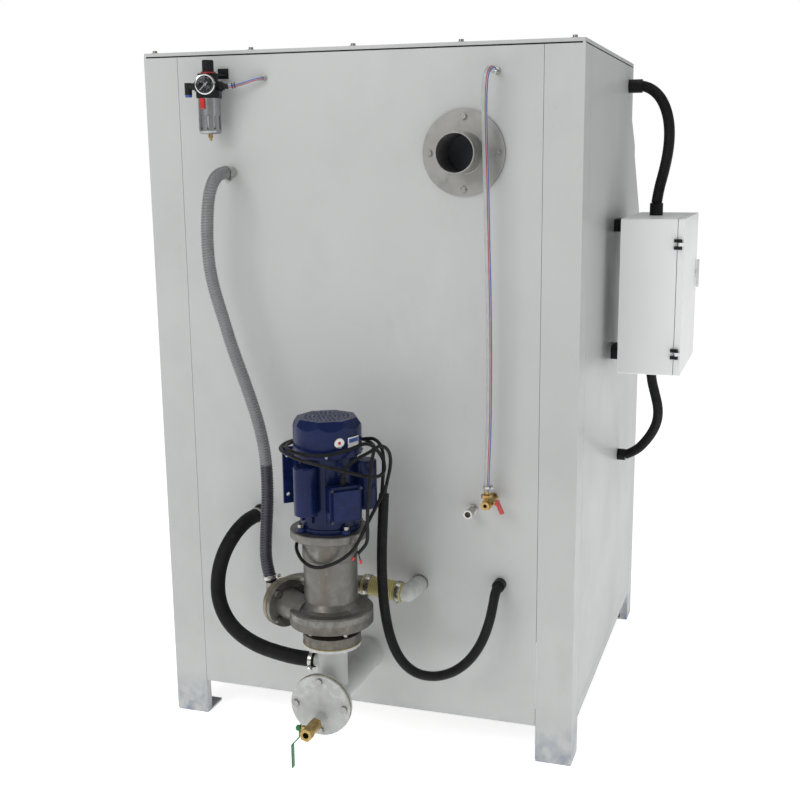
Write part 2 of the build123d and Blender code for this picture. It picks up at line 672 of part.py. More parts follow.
with BuildPart(pump_plane) as fan_cowl:
    with Locations((0, 0, COWL_Z[0])):
        Cylinder(COWL_R, COWL_Z[1] - COWL_Z[0], align=UPWARD)
        Cylinder(COWL_R - 2, COWL_Z[1] - COWL_Z[0], align=UPWARD, mode=Mode.SUBTRACT)
with BuildPart(pump_plane) as cowl_crown:
    with BuildSketch(pump_plane.offset(COWL_Z[1])):
        RegularPolygon(CROWN_APOTHEM[0], 8, major_radius=False, rotation=CROWN_TURN)
    with BuildSketch(pump_plane.offset(COWL_Z[2])):
        RegularPolygon(CROWN_APOTHEM[1], 8, major_radius=False, rotation=CROWN_TURN)
    loft()
    with Locations((0, 0, COWL_Z[1])):
        Cylinder(COWL_R, 80, mode=Mode.INTERSECT)
with BuildPart(pump_plane) as crown_core:
    with BuildSketch(pump_plane.offset(COWL_Z[1] - 0.1)):
        RegularPolygon(CROWN_APOTHEM[0] - 2.4, 8, major_radius=False, rotation=CROWN_TURN)
    with BuildSketch(pump_plane.offset(COWL_Z[2] - 2)):
        RegularPolygon(CROWN_APOTHEM[1] - 1, 8, major_radius=False, rotation=CROWN_TURN)
    loft()
    with Locations((0, 0, COWL_Z[1])):
        Cylinder(COWL_R - 2, 80, mode=Mode.INTERSECT)
with BuildPart() as fan_cowl_whole:
    add(fan_cowl.part)
    add(cowl_crown.part)
    add(crown_core.part, mode=Mode.SUBTRACT)
    with Locations((PUMP_X, PUMP_CENTRE_Y, COWL_Z[2])):
        for ring_r, count in ((10, 6), (21, 12), (32, 18), (43, 25), (54, 31)):
            with PolarLocations(ring_r, count):
                Box(4.6, 6.4, 14, mode=Mode.SUBTRACT)
save(fan_cowl_whole.part, "fan_cowl")

CAP_PLACES = ((-79.0, -53.0), (79.0, -53.0))
CAP_R = 29.0
CAP_Z = (766.0, 890.0)
with BuildPart(pump_plane) as motor_body:
    with Locations((0, 0, MOTOR_Z[0])):
        Cylinder(74, MOTOR_Z[1] - MOTOR_Z[0], align=UPWARD)
    for cap_x, cap_y in CAP_PLACES:
        with Locations((cap_x * 0.72, cap_y * 0.72, (CAP_Z[0] + CAP_Z[1]) / 2)):
            Box(34, 34, 110)
    with Locations((0, -72, 800)):
        Box(60, 36, 76)
    with BuildSketch(pump_plane.offset(MOTOR_Z[0])):
        Circle(78)
        with PolarLocations(78, 4, start_angle=10):
            Circle(15)
    extrude(amount=12)
    with PolarLocations(73, 8, start_angle=60, angular_range=210):
        with Locations((0, 0, 815)):
            Box(16, 3, 150)
    for foot_x in (-70, 70):
        with Locations((foot_x, 90, 833)):
            Box(42, 7, 148)
        with Locations((foot_x * 0.86, 66, 833)):
            Box(7, 52, 120)
    for foot_x in (-79, 79):
        for foot_z in (782, 884):
            with Locations((foot_x, 90, foot_z)):
                Cylinder(5, 20, rotation=(90, 0, 0), mode=Mode.SUBTRACT)
    with Locations((0, 0, 808)):
        Cylinder(58, 165, mode=Mode.SUBTRACT)
        Cylinder(SHAFT_R + RUN_FIT, 300, mode=Mode.SUBTRACT)
    for cap_x, cap_y in CAP_PLACES:
        with Locations((cap_x, cap_y, (CAP_Z[0] + CAP_Z[1]) / 2)):
            Cylinder(CAP_R, 140, mode=Mode.SUBTRACT)
    with Locations((0, -110, 800)):
        Box(100, 40, 100, mode=Mode.SUBTRACT)
save(motor_body.part, "motor_body")

with BuildPart(pump_plane) as capacitor_housings:
    for cap_x, cap_y in CAP_PLACES:
        with Locations((cap_x, cap_y, CAP_Z[0])):
            Cylinder(CAP_R, CAP_Z[1] - CAP_Z[0], align=UPWARD)
    fillet(capacitor_housings.edges().group_by(Axis.Z)[-1], 5)
    fillet(capacitor_housings.edges().group_by(Axis.Z)[0], 3)
save(capacitor_housings.part, "capacitor_housings")

BOX_DEPTH = (90.0, 132.0)
with BuildPart(pump_plane) as terminal_box:
    with Locations((0, -(BOX_DEPTH[0] + BOX_DEPTH[1] - 14) / 2, 800)):
        Box(78, BOX_DEPTH[1] - BOX_DEPTH[0] - 14, 84)
    with Locations((0, -BOX_DEPTH[1] + 12.4, 800)):
        Box(84, 4, 90)
    fillet(terminal_box.edges().filter_by(Axis((0, 0, 0), tuple(pump_plane.y_dir))), 5)
    with Locations((0, -BOX_DEPTH[1] + 5.5, 800)):
        Box(68, 11, 72)
    with Locations((0, -BOX_DEPTH[1] + 11, 800)):
        with Locations(Location((0, 0, 0), (90, 0, 0))):
            with GridLocations(75, 80, 2, 2):
                Cylinder(3.2, 4)
save(terminal_box.part, "terminal_box")

outlet_dir = Vector(-sin(radians(OUTLET_ANGLE)), cos(radians(OUTLET_ANGLE)), 0)
outlet_side = Vector(outlet_dir.Y, -outlet_dir.X, 0)


def outlet_plane(distance):
    """Workplane across the outlet, at a distance beyond the face of the outlet flange."""
    return Plane(origin=OUTLET_CENTRE + outlet_dir * distance, x_dir=outlet_side, z_dir=outlet_dir)


OUTLET_BOLT_R = 51.0
with BuildPart() as lantern:
    with BuildSketch(Plane.XZ.offset(-PUMP_CENTRE_Y)):
        with BuildLine():
            Polyline(
                (PUMP_X + SHAFT_R + RUN_FIT, RIM_Z[1]),
                (PUMP_X + VOLUTE_R, RIM_Z[1]),
                (PUMP_X + VOLUTE_R, RIM_Z[2] - 6),
                (PUMP_X + VOLUTE_R - 4, RIM_Z[2] - 2),
                (PUMP_X + 88, RIM_Z[2]),
                (PUMP_X + 77, RIM_Z[2] + 6),
                (PUMP_X + LANTERN_R, RIM_Z[2] + 20),
                (PUMP_X + LANTERN_R, 632),
                (PUMP_X + LANTERN_R + 2, 634),
                (PUMP_X + LANTERN_R + 2, FLANGE_Z[0]),
                (PUMP_X + PUMP_FLANGE_R - 2, FLANGE_Z[0]),
                (PUMP_X + PUMP_FLANGE_R, FLANGE_Z[0] + 2),
                (PUMP_X + PUMP_FLANGE_R, FLANGE_Z[1] - 2),
                (PUMP_X + PUMP_FLANGE_R - 2, FLANGE_Z[1]),
                (PUMP_X + 60, FLANGE_Z[1]),
                (PUMP_X + 60, RIM_Z[2] + 2),
                (PUMP_X + SHAFT_R + RUN_FIT, RIM_Z[2] + 2),
                close=True,
            )
        make_face()
    revolve(axis=Axis((PUMP_X, PUMP_CENTRE_Y, 0), (0, 0, 1)))
    with BuildSketch(outlet_plane(-94)):
        Circle(30)
    with BuildSketch(outlet_plane(-10)):
        Circle(41)
    loft()
    with BuildSketch(outlet_plane(-13)):
        Circle(OUTLET_R)
        with PolarLocations(OUTLET_BOLT_R, 4, start_angle=45):
            Circle(7, mode=Mode.SUBTRACT)
    extrude(amount=13)
    with Locations((PUMP_X, PUMP_CENTRE_Y, RIM_Z[1])):
        Cylinder(VOLUTE_R + 0.4, 80, align=DOWNWARD, mode=Mode.SUBTRACT)
    with Locations((PUMP_X, PUMP_CENTRE_Y, RIM_Z[2] + 2)):
        Cylinder(60, 190, align=UPWARD, mode=Mode.SUBTRACT)
    with BuildSketch(outlet_plane(1)):
        Circle(18)
    extrude(amount=-34, mode=Mode.SUBTRACT)
    with BuildSketch(outlet_plane(-13)):
        with PolarLocations(OUTLET_BOLT_R, 4, start_angle=45):
            Circle(9.6)
    extrude(amount=-9, mode=Mode.SUBTRACT)
save(lantern.part, "lantern")

with BuildPart() as volute:
    with BuildSketch(Plane.XY.offset(RIM_Z[0])):
        with Locations((PUMP_X, PUMP_CENTRE_Y)):
            Circle(VOLUTE_R)
    extrude(amount=RIM_Z[1] - RIM_Z[0])
    fillet(volute.edges().group_by(Axis.Z)[0], 4)
    with Locations((PUMP_X, PUMP_CENTRE_Y, RIM_Z[0])):
        Cylinder(48, 26, align=DOWNWARD)
    with BuildSketch(Plane.XY.offset(430)):
        with Locations((PUMP_X, PUMP_CENTRE_Y)):
            Circle(SUCTION_R)
            with PolarLocations(62, 4, start_angle=55):
                Circle(6, mode=Mode.SUBTRACT)
    extrude(amount=-25)
    with Locations((PUMP_X, PUMP_CENTRE_Y, RIM_Z[0] + 4)):
        Cylinder(96, 40, align=UPWARD, mode=Mode.SUBTRACT)
        Cylinder(30, 90, mode=Mode.SUBTRACT)
    with BuildSketch(outlet_plane(-22)):
        with PolarLocations(OUTLET_BOLT_R, 4, start_angle=45):
            Circle(9.6)
    extrude(amount=24, mode=Mode.SUBTRACT)
save(volute.part, "volute")

with BuildPart() as shaft_and_rotor:
    with Locations((PUMP_X, PUMP_CENTRE_Y, 464)):
        Cylinder(SHAFT_R, 950 - 464, align=UPWARD)
    with Locations((PUMP_X, PUMP_CENTRE_Y, 808)):
        Cylinder(45, 130)
save(shaft_and_rotor.part, "shaft_and_rotor")

with BuildPart() as impeller:
    with BuildSketch(Plane.XY.offset(463)):
        with Locations((PUMP_X, PUMP_CENTRE_Y)):
            Circle(86)
    extrude(amount=3)
    with BuildSketch(Plane.XY.offset(466)):
        with Locations((PUMP_X, PUMP_CENTRE_Y)):
            Circle(24)
            with PolarLocations(0, 6):
                with Locations(Location((52, 10, 0), (0, 0, 24))):
                    Rectangle(56, 5)
    extrude(amount=9)
    with Locations((PUMP_X, PUMP_CENTRE_Y, 470)):
        Cylinder(SHAFT_R, 40, mode=Mode.SUBTRACT)
save(impeller.part, "impeller")

with BuildPart() as cooling_fan:
    with Locations((PUMP_X, PUMP_CENTRE_Y, 930)):
        Cylinder(24, 30)
        with PolarLocations(0, 7):
            with Locations((46, 0, 0)):
                Box(52, 3, 26)
        Cylinder(SHAFT_R, 40, mode=Mode.SUBTRACT)
save(cooling_fan.part, "cooling_fan")

# ---------------------------------------------------------------- pipework round the pump
TAIL = OUTLET_CENTRE + outlet_dir * 58
with BuildPart() as discharge_pipe:
    with BuildSketch(outlet_plane(3)):
        Circle(OUTLET_R)
        with PolarLocations(OUTLET_BOLT_R, 4, start_angle=45):
            Circle(7, mode=Mode.SUBTRACT)
    extrude(amount=12)
    with BuildLine() as back_run:
        FilletPolyline(
            tuple(OUTLET_CENTRE + outlet_dir * 14),
            tuple(TAIL),
            (TAIL.X + 12, -700, 496),
            (45, -690, 504),
            radius=[22, 40],
        )
    with BuildSketch(Plane(origin=back_run.line @ 0, z_dir=back_run.line % 0)):
        Circle(22)
    sweep(path=back_run.line)
    with Locations((TAIL.X, TAIL.Y, TAIL.Z)):
        Cylinder(15, 42, align=UPWARD)
    with BuildSketch(outlet_plane(2)):
        Circle(17)
    extrude(amount=30, mode=Mode.SUBTRACT)
save(discharge_pipe.part, "discharge_pipe")

with BuildPart() as sump_tee:
    with Locations((PUMP_X, SUMP_Y[0], SUMP_PIPE_Z)):
        Cylinder(
            SUMP_PIPE_R,
            SUMP_Y[0] - BLIND_FACE_Y - 12,
            rotation=(90, 0, 0),
            align=UPWARD,
        )
    with Locations((PUMP_X, PUMP_CENTRE_Y, SUMP_PIPE_Z)):
        Cylinder(SUCTION_PIPE_R, 394 - SUMP_PIPE_Z + 4, align=UPWARD)
    with BuildSketch(Plane.XY.offset(394)):
        with Locations((PUMP_X, PUMP_CENTRE_Y)):
            Circle(SUCTION_R)
            with PolarLocations(62, 4, start_angle=55):
                Circle(6, mode=Mode.SUBTRACT)
    extrude(amount=8)
    with BuildSketch(plane_along_y(PUMP_X, BLIND_FACE_Y + 11, SUMP_PIPE_Z)):
        Circle(BLIND_R)
        with PolarLocations(66, 4):
            Circle(6, mode=Mode.SUBTRACT)
    extrude(amount=10)
    with Locations((PUMP_X, PUMP_CENTRE_Y, 340)):
        Cylinder(16, SUCTION_PIPE_R + 10, rotation=(0, -90, 0), align=UPWARD)
    with Locations((PUMP_X, SUMP_Y[0] + 1, SUMP_PIPE_Z)):
        Cylinder(
            SUMP_PIPE_R - 4,
            600,
            rotation=(90, 0, 0),
            align=UPWARD,
            mode=Mode.SUBTRACT,
        )
    with Locations((PUMP_X, PUMP_CENTRE_Y, SUMP_PIPE_Z)):
        Cylinder(SUCTION_PIPE_R - 4, 200, align=UPWARD, mode=Mode.SUBTRACT)
    with Locations((PUMP_X, PUMP_CENTRE_Y, 340)):
        Cylinder(12, 80, rotation=(0, -90, 0), align=UPWARD, mode=Mode.SUBTRACT)
save(sump_tee.part, "sump_tee")

with BuildPart() as blind_flange:
    with BuildSketch(plane_along_y(PUMP_X, BLIND_FACE_Y, SUMP_PIPE_Z)):
        Circle(BLIND_R)
        with PolarLocations(66, 4):
            Circle(6, mode=Mode.SUBTRACT)
    extrude(amount=8)
    with BuildSketch(plane_along_y(DRAIN_X, BLIND_FACE_Y + 1, DRAIN_Z)):
        Circle(15)
    extrude(amount=-38)
    with BuildSketch(plane_along_y(DRAIN_X, BLIND_FACE_Y + 20, DRAIN_Z)):
        Circle(8)
    extrude(amount=-80, mode=Mode.SUBTRACT)
save(blind_flange.part, "blind_flange")

with BuildPart() as flange_gaskets:
    with BuildSketch(plane_along_y(PUMP_X, BLIND_FACE_Y + 8, SUMP_PIPE_Z)):
        Circle(BLIND_R + 0.8)
        Circle(46, mode=Mode.SUBTRACT)
        with PolarLocations(66, 4):
            Circle(6, mode=Mode.SUBTRACT)
    extrude(amount=3)
    with BuildSketch(outlet_plane(0)):
        Circle(OUTLET_R + 0.8)
        Circle(22, mode=Mode.SUBTRACT)
        with PolarLocations(OUTLET_BOLT_R, 4, start_angle=45):
            Circle(7, mode=Mode.SUBTRACT)
    extrude(amount=3)
    with BuildSketch(Plane.XY.offset(402)):
        with Locations((PUMP_X, PUMP_CENTRE_Y)):
            Circle(SUCTION_R + 0.8)
            Circle(32, mode=Mode.SUBTRACT)
            with PolarLocations(62, 4, start_angle=55):
                Circle(6, mode=Mode.SUBTRACT)
    extrude(amount=3)
save(flange_gaskets.part, "flange_gaskets")

BALL_R = 11.0
with BuildPart() as drain_valve_body:
    for hex_y in (-986.0, -1037.0):
        with BuildSketch(plane_along_y(DRAIN_X, hex_y, DRAIN_Z)):
            RegularPolygon(17.5, 6, rotation=15)
        extrude(amount=14)
    with BuildSketch(plane_along_y(DRAIN_X, -1024, DRAIN_Z)):
        Circle(15.5)
    extrude(amount=40)
    with Locations((DRAIN_X, DRAIN_STEM_Y, DRAIN_Z)):
        Cylinder(8, 24, rotation=(0, -90, 0), align=UPWARD)
        Sphere(BALL_R + RUN_FIT, mode=Mode.SUBTRACT)
        Cylinder(4.5 + RUN_FIT, 30, rotation=(0, -90, 0), align=UPWARD, mode=Mode.SUBTRACT)
    with BuildSketch(plane_along_y(DRAIN_X, -972, DRAIN_Z)):
        Circle(8)
    extrude(amount=-80, mode=Mode.SUBTRACT)
    with BuildSketch(plane_along_y(DRAIN_X, DRAIN_STEM_Y, DRAIN_Z)):
        Circle(9)
    extrude(amount=-15, mode=Mode.SUBTRACT)
save(drain_valve_body.part, "drain_valve_body")

LEVER_X = DRAIN_X - 28.0
with BuildPart() as drain_valve_lever:
    with Locations((DRAIN_X, DRAIN_STEM_Y, DRAIN_Z)):
        Sphere(BALL_R)
        Cylinder(4.5, 40, rotation=(0, -90, 0), align=UPWARD)
        Cylinder(8, 24, mode=Mode.SUBTRACT)
    with BuildSketch(Plane.XZ.offset(-DRAIN_STEM_Y + 6.5)):
        with BuildLine():
            Polyline(
                (LEVER_X, DRAIN_Z + 8),
                (LEVER_X, DRAIN_Z - 22),
                (LEVER_X - 22, DRAIN_Z - 48),
                (LEVER_X - 22, DRAIN_Z - 110),
                (LEVER_X - 25, DRAIN_Z - 110),
                (LEVER_X - 25, DRAIN_Z - 47),
                (LEVER_X - 3, DRAIN_Z - 21),
                (LEVER_X - 3, DRAIN_Z + 8),
                close=True,
            )
        make_face()
    extrude(amount=-13)
    with BuildSketch(Plane.YZ.offset(LEVER_X - 10)):
        with Locations((DRAIN_STEM_Y, DRAIN_Z)):
            RegularPolygon(7.5, 6)
    extrude(amount=7)
save(drain_valve_lever.part, "drain_valve_lever")

TAP_X = 379.0
TAP_Z = 745.0
TAP_Y = -640.0
with BuildPart() as tap_body:
    with BuildSketch(plane_along_y(TAP_X, -560, TAP_Z)):
        Circle(8)
    extrude(amount=-70)
    with BuildSketch(plane_along_y(TAP_X, -618, TAP_Z)):
        Circle(14)
    extrude(amount=-34)
    with BuildSketch(plane_along_y(TAP_X, -652, TAP_Z)):
        RegularPolygon(15, 6)
    extrude(amount=-12)
    with BuildSketch(plane_along_y(TAP_X, -664, TAP_Z)):
        Circle(11)
    extrude(amount=-12)
    with BuildSketch(Plane.XY.offset(TAP_Z + 12)):
        with Locations((TAP_X - 5, TAP_Y)):
            RegularPolygon(15, 6)
    extrude(amount=9)
    with BuildSketch(plane_along_y(TAP_X, PUMP_Y - 6, TAP_Z)):
        RegularPolygon(13, 6)
    extrude(amount=6)
    with Locations((TAP_X - 5, TAP_Y, TAP_Z)):
        Cylinder(6.5, 32, align=UPWARD)
    with Locations((TAP_X, TAP_Y, TAP_Z)):
        Cylinder(6, 19, rotation=(0, 90, 0), align=UPWARD)
        Cylinder(3 + RUN_FIT, 30, rotation=(0, 90, 0), align=UPWARD, mode=Mode.SUBTRACT)
    with BuildSketch(plane_along_y(TAP_X, -645, TAP_Z)):
        Circle(5)
    extrude(amount=-60, mode=Mode.SUBTRACT)
save(tap_body.part, "tap_body")

with BuildPart() as tap_lever:
    with Locations((TAP_X + 7, TAP_Y, TAP_Z)):
        Cylinder(3, 18, rotation=(0, 90, 0), align=UPWARD)
    with Locations((TAP_X + 24, TAP_Y, TAP_Z)):
        Cylinder(8, 8, rotation=(0, 90, 0))
    with Locations(Location((TAP_X + 31, TAP_Y, TAP_Z - 14), (0, -24, 0))):
        Box(9, 11, 30)
save(tap_lever.part, "tap_lever")

WALL_STUBS = (
    (-350.0, 1591.0, 15.0, -612.0),
    (-299.0, 645.0, 17.0, -612.0),
    (382.0, 1833.0, 6.0, -622.0),
    (-247.0, 1833.0, 6.5, -597.0),
    (324.0, 708.0, 10.5, -645.0),
)
with BuildPart() as hose_fittings:
    for stub_x, stub_z, stub_r, mouth_y in WALL_STUBS:
        with BuildSketch(plane_along_y(stub_x, mouth_y, stub_z)):
            Circle(stub_r)
        extrude(amount=-560 - mouth_y)
    with Locations((172, -690, 491)):
        Sphere(23)
        Cylinder(23, 14, rotation=(0, -90, 0), align=UPWARD)
    with BuildSketch(plane_along_y(172, -560, 483)):
        Circle(23)
    extrude(amount=-42)
    with BuildSketch(plane_along_y(172, -602, 483)):
        Circle(23)
    with BuildSketch(plane_along_y(172, -690, 491)):
        Circle(23)
    loft()
    for stub_x, stub_z, nut_r in ((382.0, 1833.0, 10.0), (-247.0, 1833.0, 9.0), (324.0, 708.0, 14.0)):
        with BuildSketch(plane_along_y(stub_x, PUMP_Y - 8, stub_z)):
            RegularPolygon(nut_r, 6)
        extrude(amount=8)
    with BuildSketch(plane_along_y(324.0, -645, 708.0)):
        Circle(12)
    extrude(amount=14)
    with BuildSketch(plane_along_y(324.0, -600, 708.0)):
        Circle(8)
    extrude(amount=-80, mode=Mode.SUBTRACT)
save(hose_fittings.part, "hose_fittings")

# ---------------------------------------------------------------- electrical enclosure
BOX_MID_Y = (BOX_Y[0] + BOX_Y[1]) / 2
BOX_MID_Z = (BOX_Z[0] + BOX_Z[1]) / 2
BOX_WIDE = BOX_Y[1] - BOX_Y[0]
BOX_HIGH = BOX_Z[1] - BOX_Z[0]
GLAND_X = 714.0
GLAND_Y = -8.0
with BuildPart() as enclosure_box:
    with Locations(((BOX_X[0] + BOX_X[1]) / 2, BOX_MID_Y, BOX_MID_Z)):
        Box(BOX_X[1] - BOX_X[0], BOX_WIDE, BOX_HIGH)
    fillet(enclosure_box.edges().filter_by(Axis.X), 5)
    with Locations(((BOX_X[0] + BOX_X[1]) / 2 + SHEET, BOX_MID_Y, BOX_MID_Z)):
        Box(BOX_X[1] - BOX_X[0], BOX_WIDE - 2 * SHEET, BOX_HIGH - 2 * SHEET, mode=Mode.SUBTRACT)
    with Locations((GLAND_X, GLAND_Y, BOX_MID_Z)):
        Cylinder(14, BOX_HIGH + 20, mode=Mode.SUBTRACT)
save(enclosure_box.part, "enclosure_box")

with BuildPart() as enclosure_backplate:
    with Locations((BOX_X[0] + 12, BOX_MID_Y, BOX_MID_Z)):
        Box(2, BOX_WIDE - 60, BOX_HIGH - 60)
        with Locations(Location((-5.5, 0, 0), (0, 90, 0))):
            with GridLocations(BOX_HIGH - 90, BOX_WIDE - 90, 2, 2):
                Cylinder(4, 9)
        with Locations((5, 0, 70), (5, 0, -90)):
            Box(8, 330, 35)
        with Locations((40, -110, 70), (40, -55, 70), (40, 0, 70)):
            Box(62, 45, 80)
        with Locations((34, 90, 70)):
            Box(50, 90, 95)
        for terminal in range(16):
            with Locations((28, -120 + 14 * terminal, -90)):
                Box(40, 11, 45)
save(enclosure_backplate.part, "enclosure_backplate")

HINGE_PIVOT = (807.0, BOX_Y[0] - 7.0)
HINGE_ZS = (1090.0, 1392.0)
HANDLE_AT = (178.0, 1278.0)
with BuildPart() as enclosure_door:
    with Locations(((DOOR_X[0] + DOOR_X[1]) / 2, BOX_MID_Y, BOX_MID_Z)):
        Box(DOOR_X[1] - DOOR_X[0], BOX_WIDE, BOX_HIGH)
    fillet(enclosure_door.edges().filter_by(Axis.X), 5)
    with Locations(((DOOR_X[0] + DOOR_X[1]) / 2 - SHEET, BOX_MID_Y, BOX_MID_Z)):
        Box(DOOR_X[1] - DOOR_X[0], BOX_WIDE - 2 * SHEET, BOX_HIGH - 2 * SHEET, mode=Mode.SUBTRACT)
    for hinge_z in HINGE_ZS:
        with Locations((*HINGE_PIVOT, hinge_z)):
            Cylinder(5, 9.4)
            with Locations((4, 4, 0)):
                Box(12, 7, 9.4)
            Cylinder(2.5 + RUN_FIT, 20, mode=Mode.SUBTRACT)
    with Locations((DOOR_X[1], *HANDLE_AT)):
        Cylinder(7 + RUN_FIT, 20, rotation=(0, 90, 0), mode=Mode.SUBTRACT)
save(enclosure_door.part, "enclosure_door")

with BuildPart() as door_handle:
    with Locations((DOOR_X[1] + 0.3, *HANDLE_AT)):
        Cylinder(13, 4, rotation=(0, 90, 0), align=UPWARD)
        Cylinder(7, 18, rotation=(0, 90, 0))
        with Locations((7, 0, 0)):
            Box(8, 14, 84)
        with Locations((-9, 0, 12)):
            Box(3, 12, 40)
    fillet(door_handle.edges().filter_by(Axis.X).group_by(Axis.X)[-1], 4)
save(door_handle.part, "door_handle")

with BuildPart() as wall_brackets:
    for rail_z in (1432.0, 1058.0):
        with Locations((HALF_W + 22, -8, rail_z)):
            Box(44, 101, 35)
    for hinge_z in HINGE_ZS:
        with Locations((*HINGE_PIVOT, hinge_z)):
            Cylinder(2.5, 28)
            for side in (-1, 1):
                with Locations((0, 0, side * 9.6)):
                    Cylinder(5, 8.8)
                    with Locations((-9, 3, 0)):
                        Box(16, 7.7, 8.8)
    with BuildSketch(Plane.XY.offset(1841)):
        with Locations((AIR_UNIT.X, AIR_UNIT.Y)):
            Circle(28)
        with Locations((-364, (AIR_UNIT.Y + PUMP_Y) / 2)):
            Rectangle(26, PUMP_Y - AIR_UNIT.Y)
        with Locations((AIR_UNIT.X, AIR_UNIT.Y)):
            Circle(25.2, mode=Mode.SUBTRACT)
    extrude(amount=3)
    with Locations((-364, PUMP_Y - 1.5, 1847)):
        Box(30, 3, 26)
save(wall_brackets.part, "wall_brackets")

UPPER_EXIT = (600.0, 170.0, 1835.0)
LOWER_EXIT = (600.0, 145.0, 700.0)
with BuildPart() as cable_glands:
    with Locations((GLAND_X, GLAND_Y, BOX_Z[1])):
        Cylinder(19, 35, align=UPWARD)
    with Locations((GLAND_X, GLAND_Y, BOX_Z[0])):
        Cylinder(18, 25, align=DOWNWARD)
    with Locations(UPPER_EXIT):
        Cylinder(20, 40, rotation=(0, 90, 0), align=UPWARD)
    with Locations(LOWER_EXIT):
        Cylinder(18, 25, rotation=(0, 90, 0), align=UPWARD)
    with BuildSketch(plane_along_y(399, -612, 504)):
        Circle(17)
    extrude(amount=25)
    with Locations(round_pump(MOTOR_TURN, 104, 842)):
        Cylinder(7, 20, align=UPWARD)
    with Locations(round_pump(-150, 78, 670)):
        Cylinder(12, 22)
    with Locations((PUMP_X, PUMP_CENTRE_Y, 670)):
        Cylinder(LANTERN_R + 2, 30, mode=Mode.SUBTRACT)
save(cable_glands.part, "cable_glands")

# ---------------------------------------------------------------- fasteners
with BuildPart() as bolts:
    for bolt_x in (-572, -287, 0, 287, 572):
        for bolt_y in (PUMP_Y + 12, TOP_BACK_Y - 12):
            with Locations((bolt_x, bolt_y, PANEL_TOP + TOP_PLATE_H)):
                Cylinder(9, 1.5, align=UPWARD)
                Cylinder(6, 7, align=UPWARD)
    with BuildSketch(plane_along_y(VENT_X, PUMP_Y - 8, VENT_Z)):
        with PolarLocations(VENT_BOLT_R, 4):
            RegularPolygon(8.5, 6)
    extrude(amount=-7)
    with BuildSketch(plane_along_y(PUMP_X, BLIND_FACE_Y, SUMP_PIPE_Z)):
        with PolarLocations(66, 4):
            RegularPolygon(9, 6)
    extrude(amount=-7)
    with BuildSketch(plane_along_y(PUMP_X, BLIND_FACE_Y + 21, SUMP_PIPE_Z)):
        with PolarLocations(66, 4):
            RegularPolygon(9, 6)
    extrude(amount=7)
    with BuildSketch(outlet_plane(-13)):
        with PolarLocations(OUTLET_BOLT_R, 4, start_angle=45):
            Circle(9)
    extrude(amount=-8)
    with BuildSketch(outlet_plane(15)):
        with PolarLocations(OUTLET_BOLT_R, 4, start_angle=45):
            RegularPolygon(9, 6)
    extrude(amount=8)
    for bolt_plane in (Plane.XY.offset(430), Plane.XY.offset(386)):
        with BuildSketch(bolt_plane):
            with Locations((PUMP_X, PUMP_CENTRE_Y)):
                with PolarLocations(62, 4, start_angle=55):
                    RegularPolygon(8.5, 6)
        extrude(amount=8)
    with BuildSketch(pump_plane.offset(MOTOR_Z[0] + 12)):
        with PolarLocations(83, 4, start_angle=10):
            RegularPolygon(8, 6)
    extrude(amount=9)
save(bolts.part, "bolts")

# ---------------------------------------------------------------- hoses, conduits and cables
AIR_HOSE_D = 13.0
YELLOW_HOSE_D = 54.0
GREY_HOSE_D = 34.0
BLACK_HOSE_D = 40.0
CLEAR_HOSE_D = 16.0
CONDUIT_D = 27.0
UPPER_CONDUIT_D = 32.0
LOWER_CONDUIT_D = 30.0
CABLE_D = 9.0


BARB_X = AIR_UNIT.X + 52 * cos(radians(AIR_TURN))
BARB_Y = AIR_UNIT.Y + 52 * sin(radians(AIR_TURN))
save_tube(
    "air_hose",
    [
        (BARB_X, BARB_Y, PORT_Z),
        (BARB_X + 14, BARB_Y + 4, PORT_Z + 2),
        (BARB_X + 36, BARB_Y + 12, PORT_Z + 8),
        (BARB_X + 60, BARB_Y + 20, PORT_Z + 16),
        (-254, -606, 1832),
        (-247, -597, 1833),
    ],
    AIR_HOSE_D,
)
with BuildPart() as yellow_hose:
    with BuildLine() as yellow_line:
        Line((45, -690, 504), (158, -690, 491))
    with BuildSketch(Plane(origin=(45, -690, 504), z_dir=(113, 0, -13))):
        Circle(YELLOW_HOSE_D / 2)
    sweep(path=yellow_line.line)
save(yellow_hose.part, "yellow_hose")
save_tube(
    "grey_spiral_hose",
    [
        (-350, -612, 1591),
        (-351, -646, 1592),
        (-354, -684, 1576),
        (-360, -705, 1535),
        (-366, -708, 1478),
        (-370, -706, 1414),
        (-367, -706, 1346),
        (-354, -705, 1280),
        (-334, -706, 1218),
        (-307, -708, 1129),
        (-268, -712, 1030),
        (-230, -722, 930),
        (-207, -737, 842),
        (-199, -752, 745),
        (-199, -768, 660),
        (-193, -790, 598),
        (-180, -806, 560),
        (TAIL.X, TAIL.Y, TAIL.Z + 42),
    ],
    GREY_HOSE_D,
)
save_tube(
    "black_rubber_hose",
    [
        (-299, -612, 645),
        (-300, -650, 648),
        (-308, -688, 640),
        (-325, -720, 612),
        (-345, -743, 565),
        (-355, -760, 506),
        (-346, -778, 448),
        (-314, -797, 401),
        (-264, -815, 369),
        (-201, -829, 350),
        (-135, -838, 342),
        (-80, -843, 339),
        (PUMP_X - SUCTION_PIPE_R - 10, PUMP_CENTRE_Y, 340),
    ],
    BLACK_HOSE_D,
)
save_tube(
    "clear_level_hose",
    [
        (382, -622, 1833),
        (380, -642, 1838),
        (374, -657, 1829),
        (370, -660, 1801),
        (368, -656, 1745),
        (369, -653, 1665),
        (373, -652, 1560),
        (376, -652, 1430),
        (380, -650, 1276),
        (382, -648, 1110),
        (381, -647, 960),
        (378, -646, 870),
        (375, -643, 815),
        (TAP_X - 5, TAP_Y, TAP_Z + 32),
    ],
    CLEAR_HOSE_D,
)
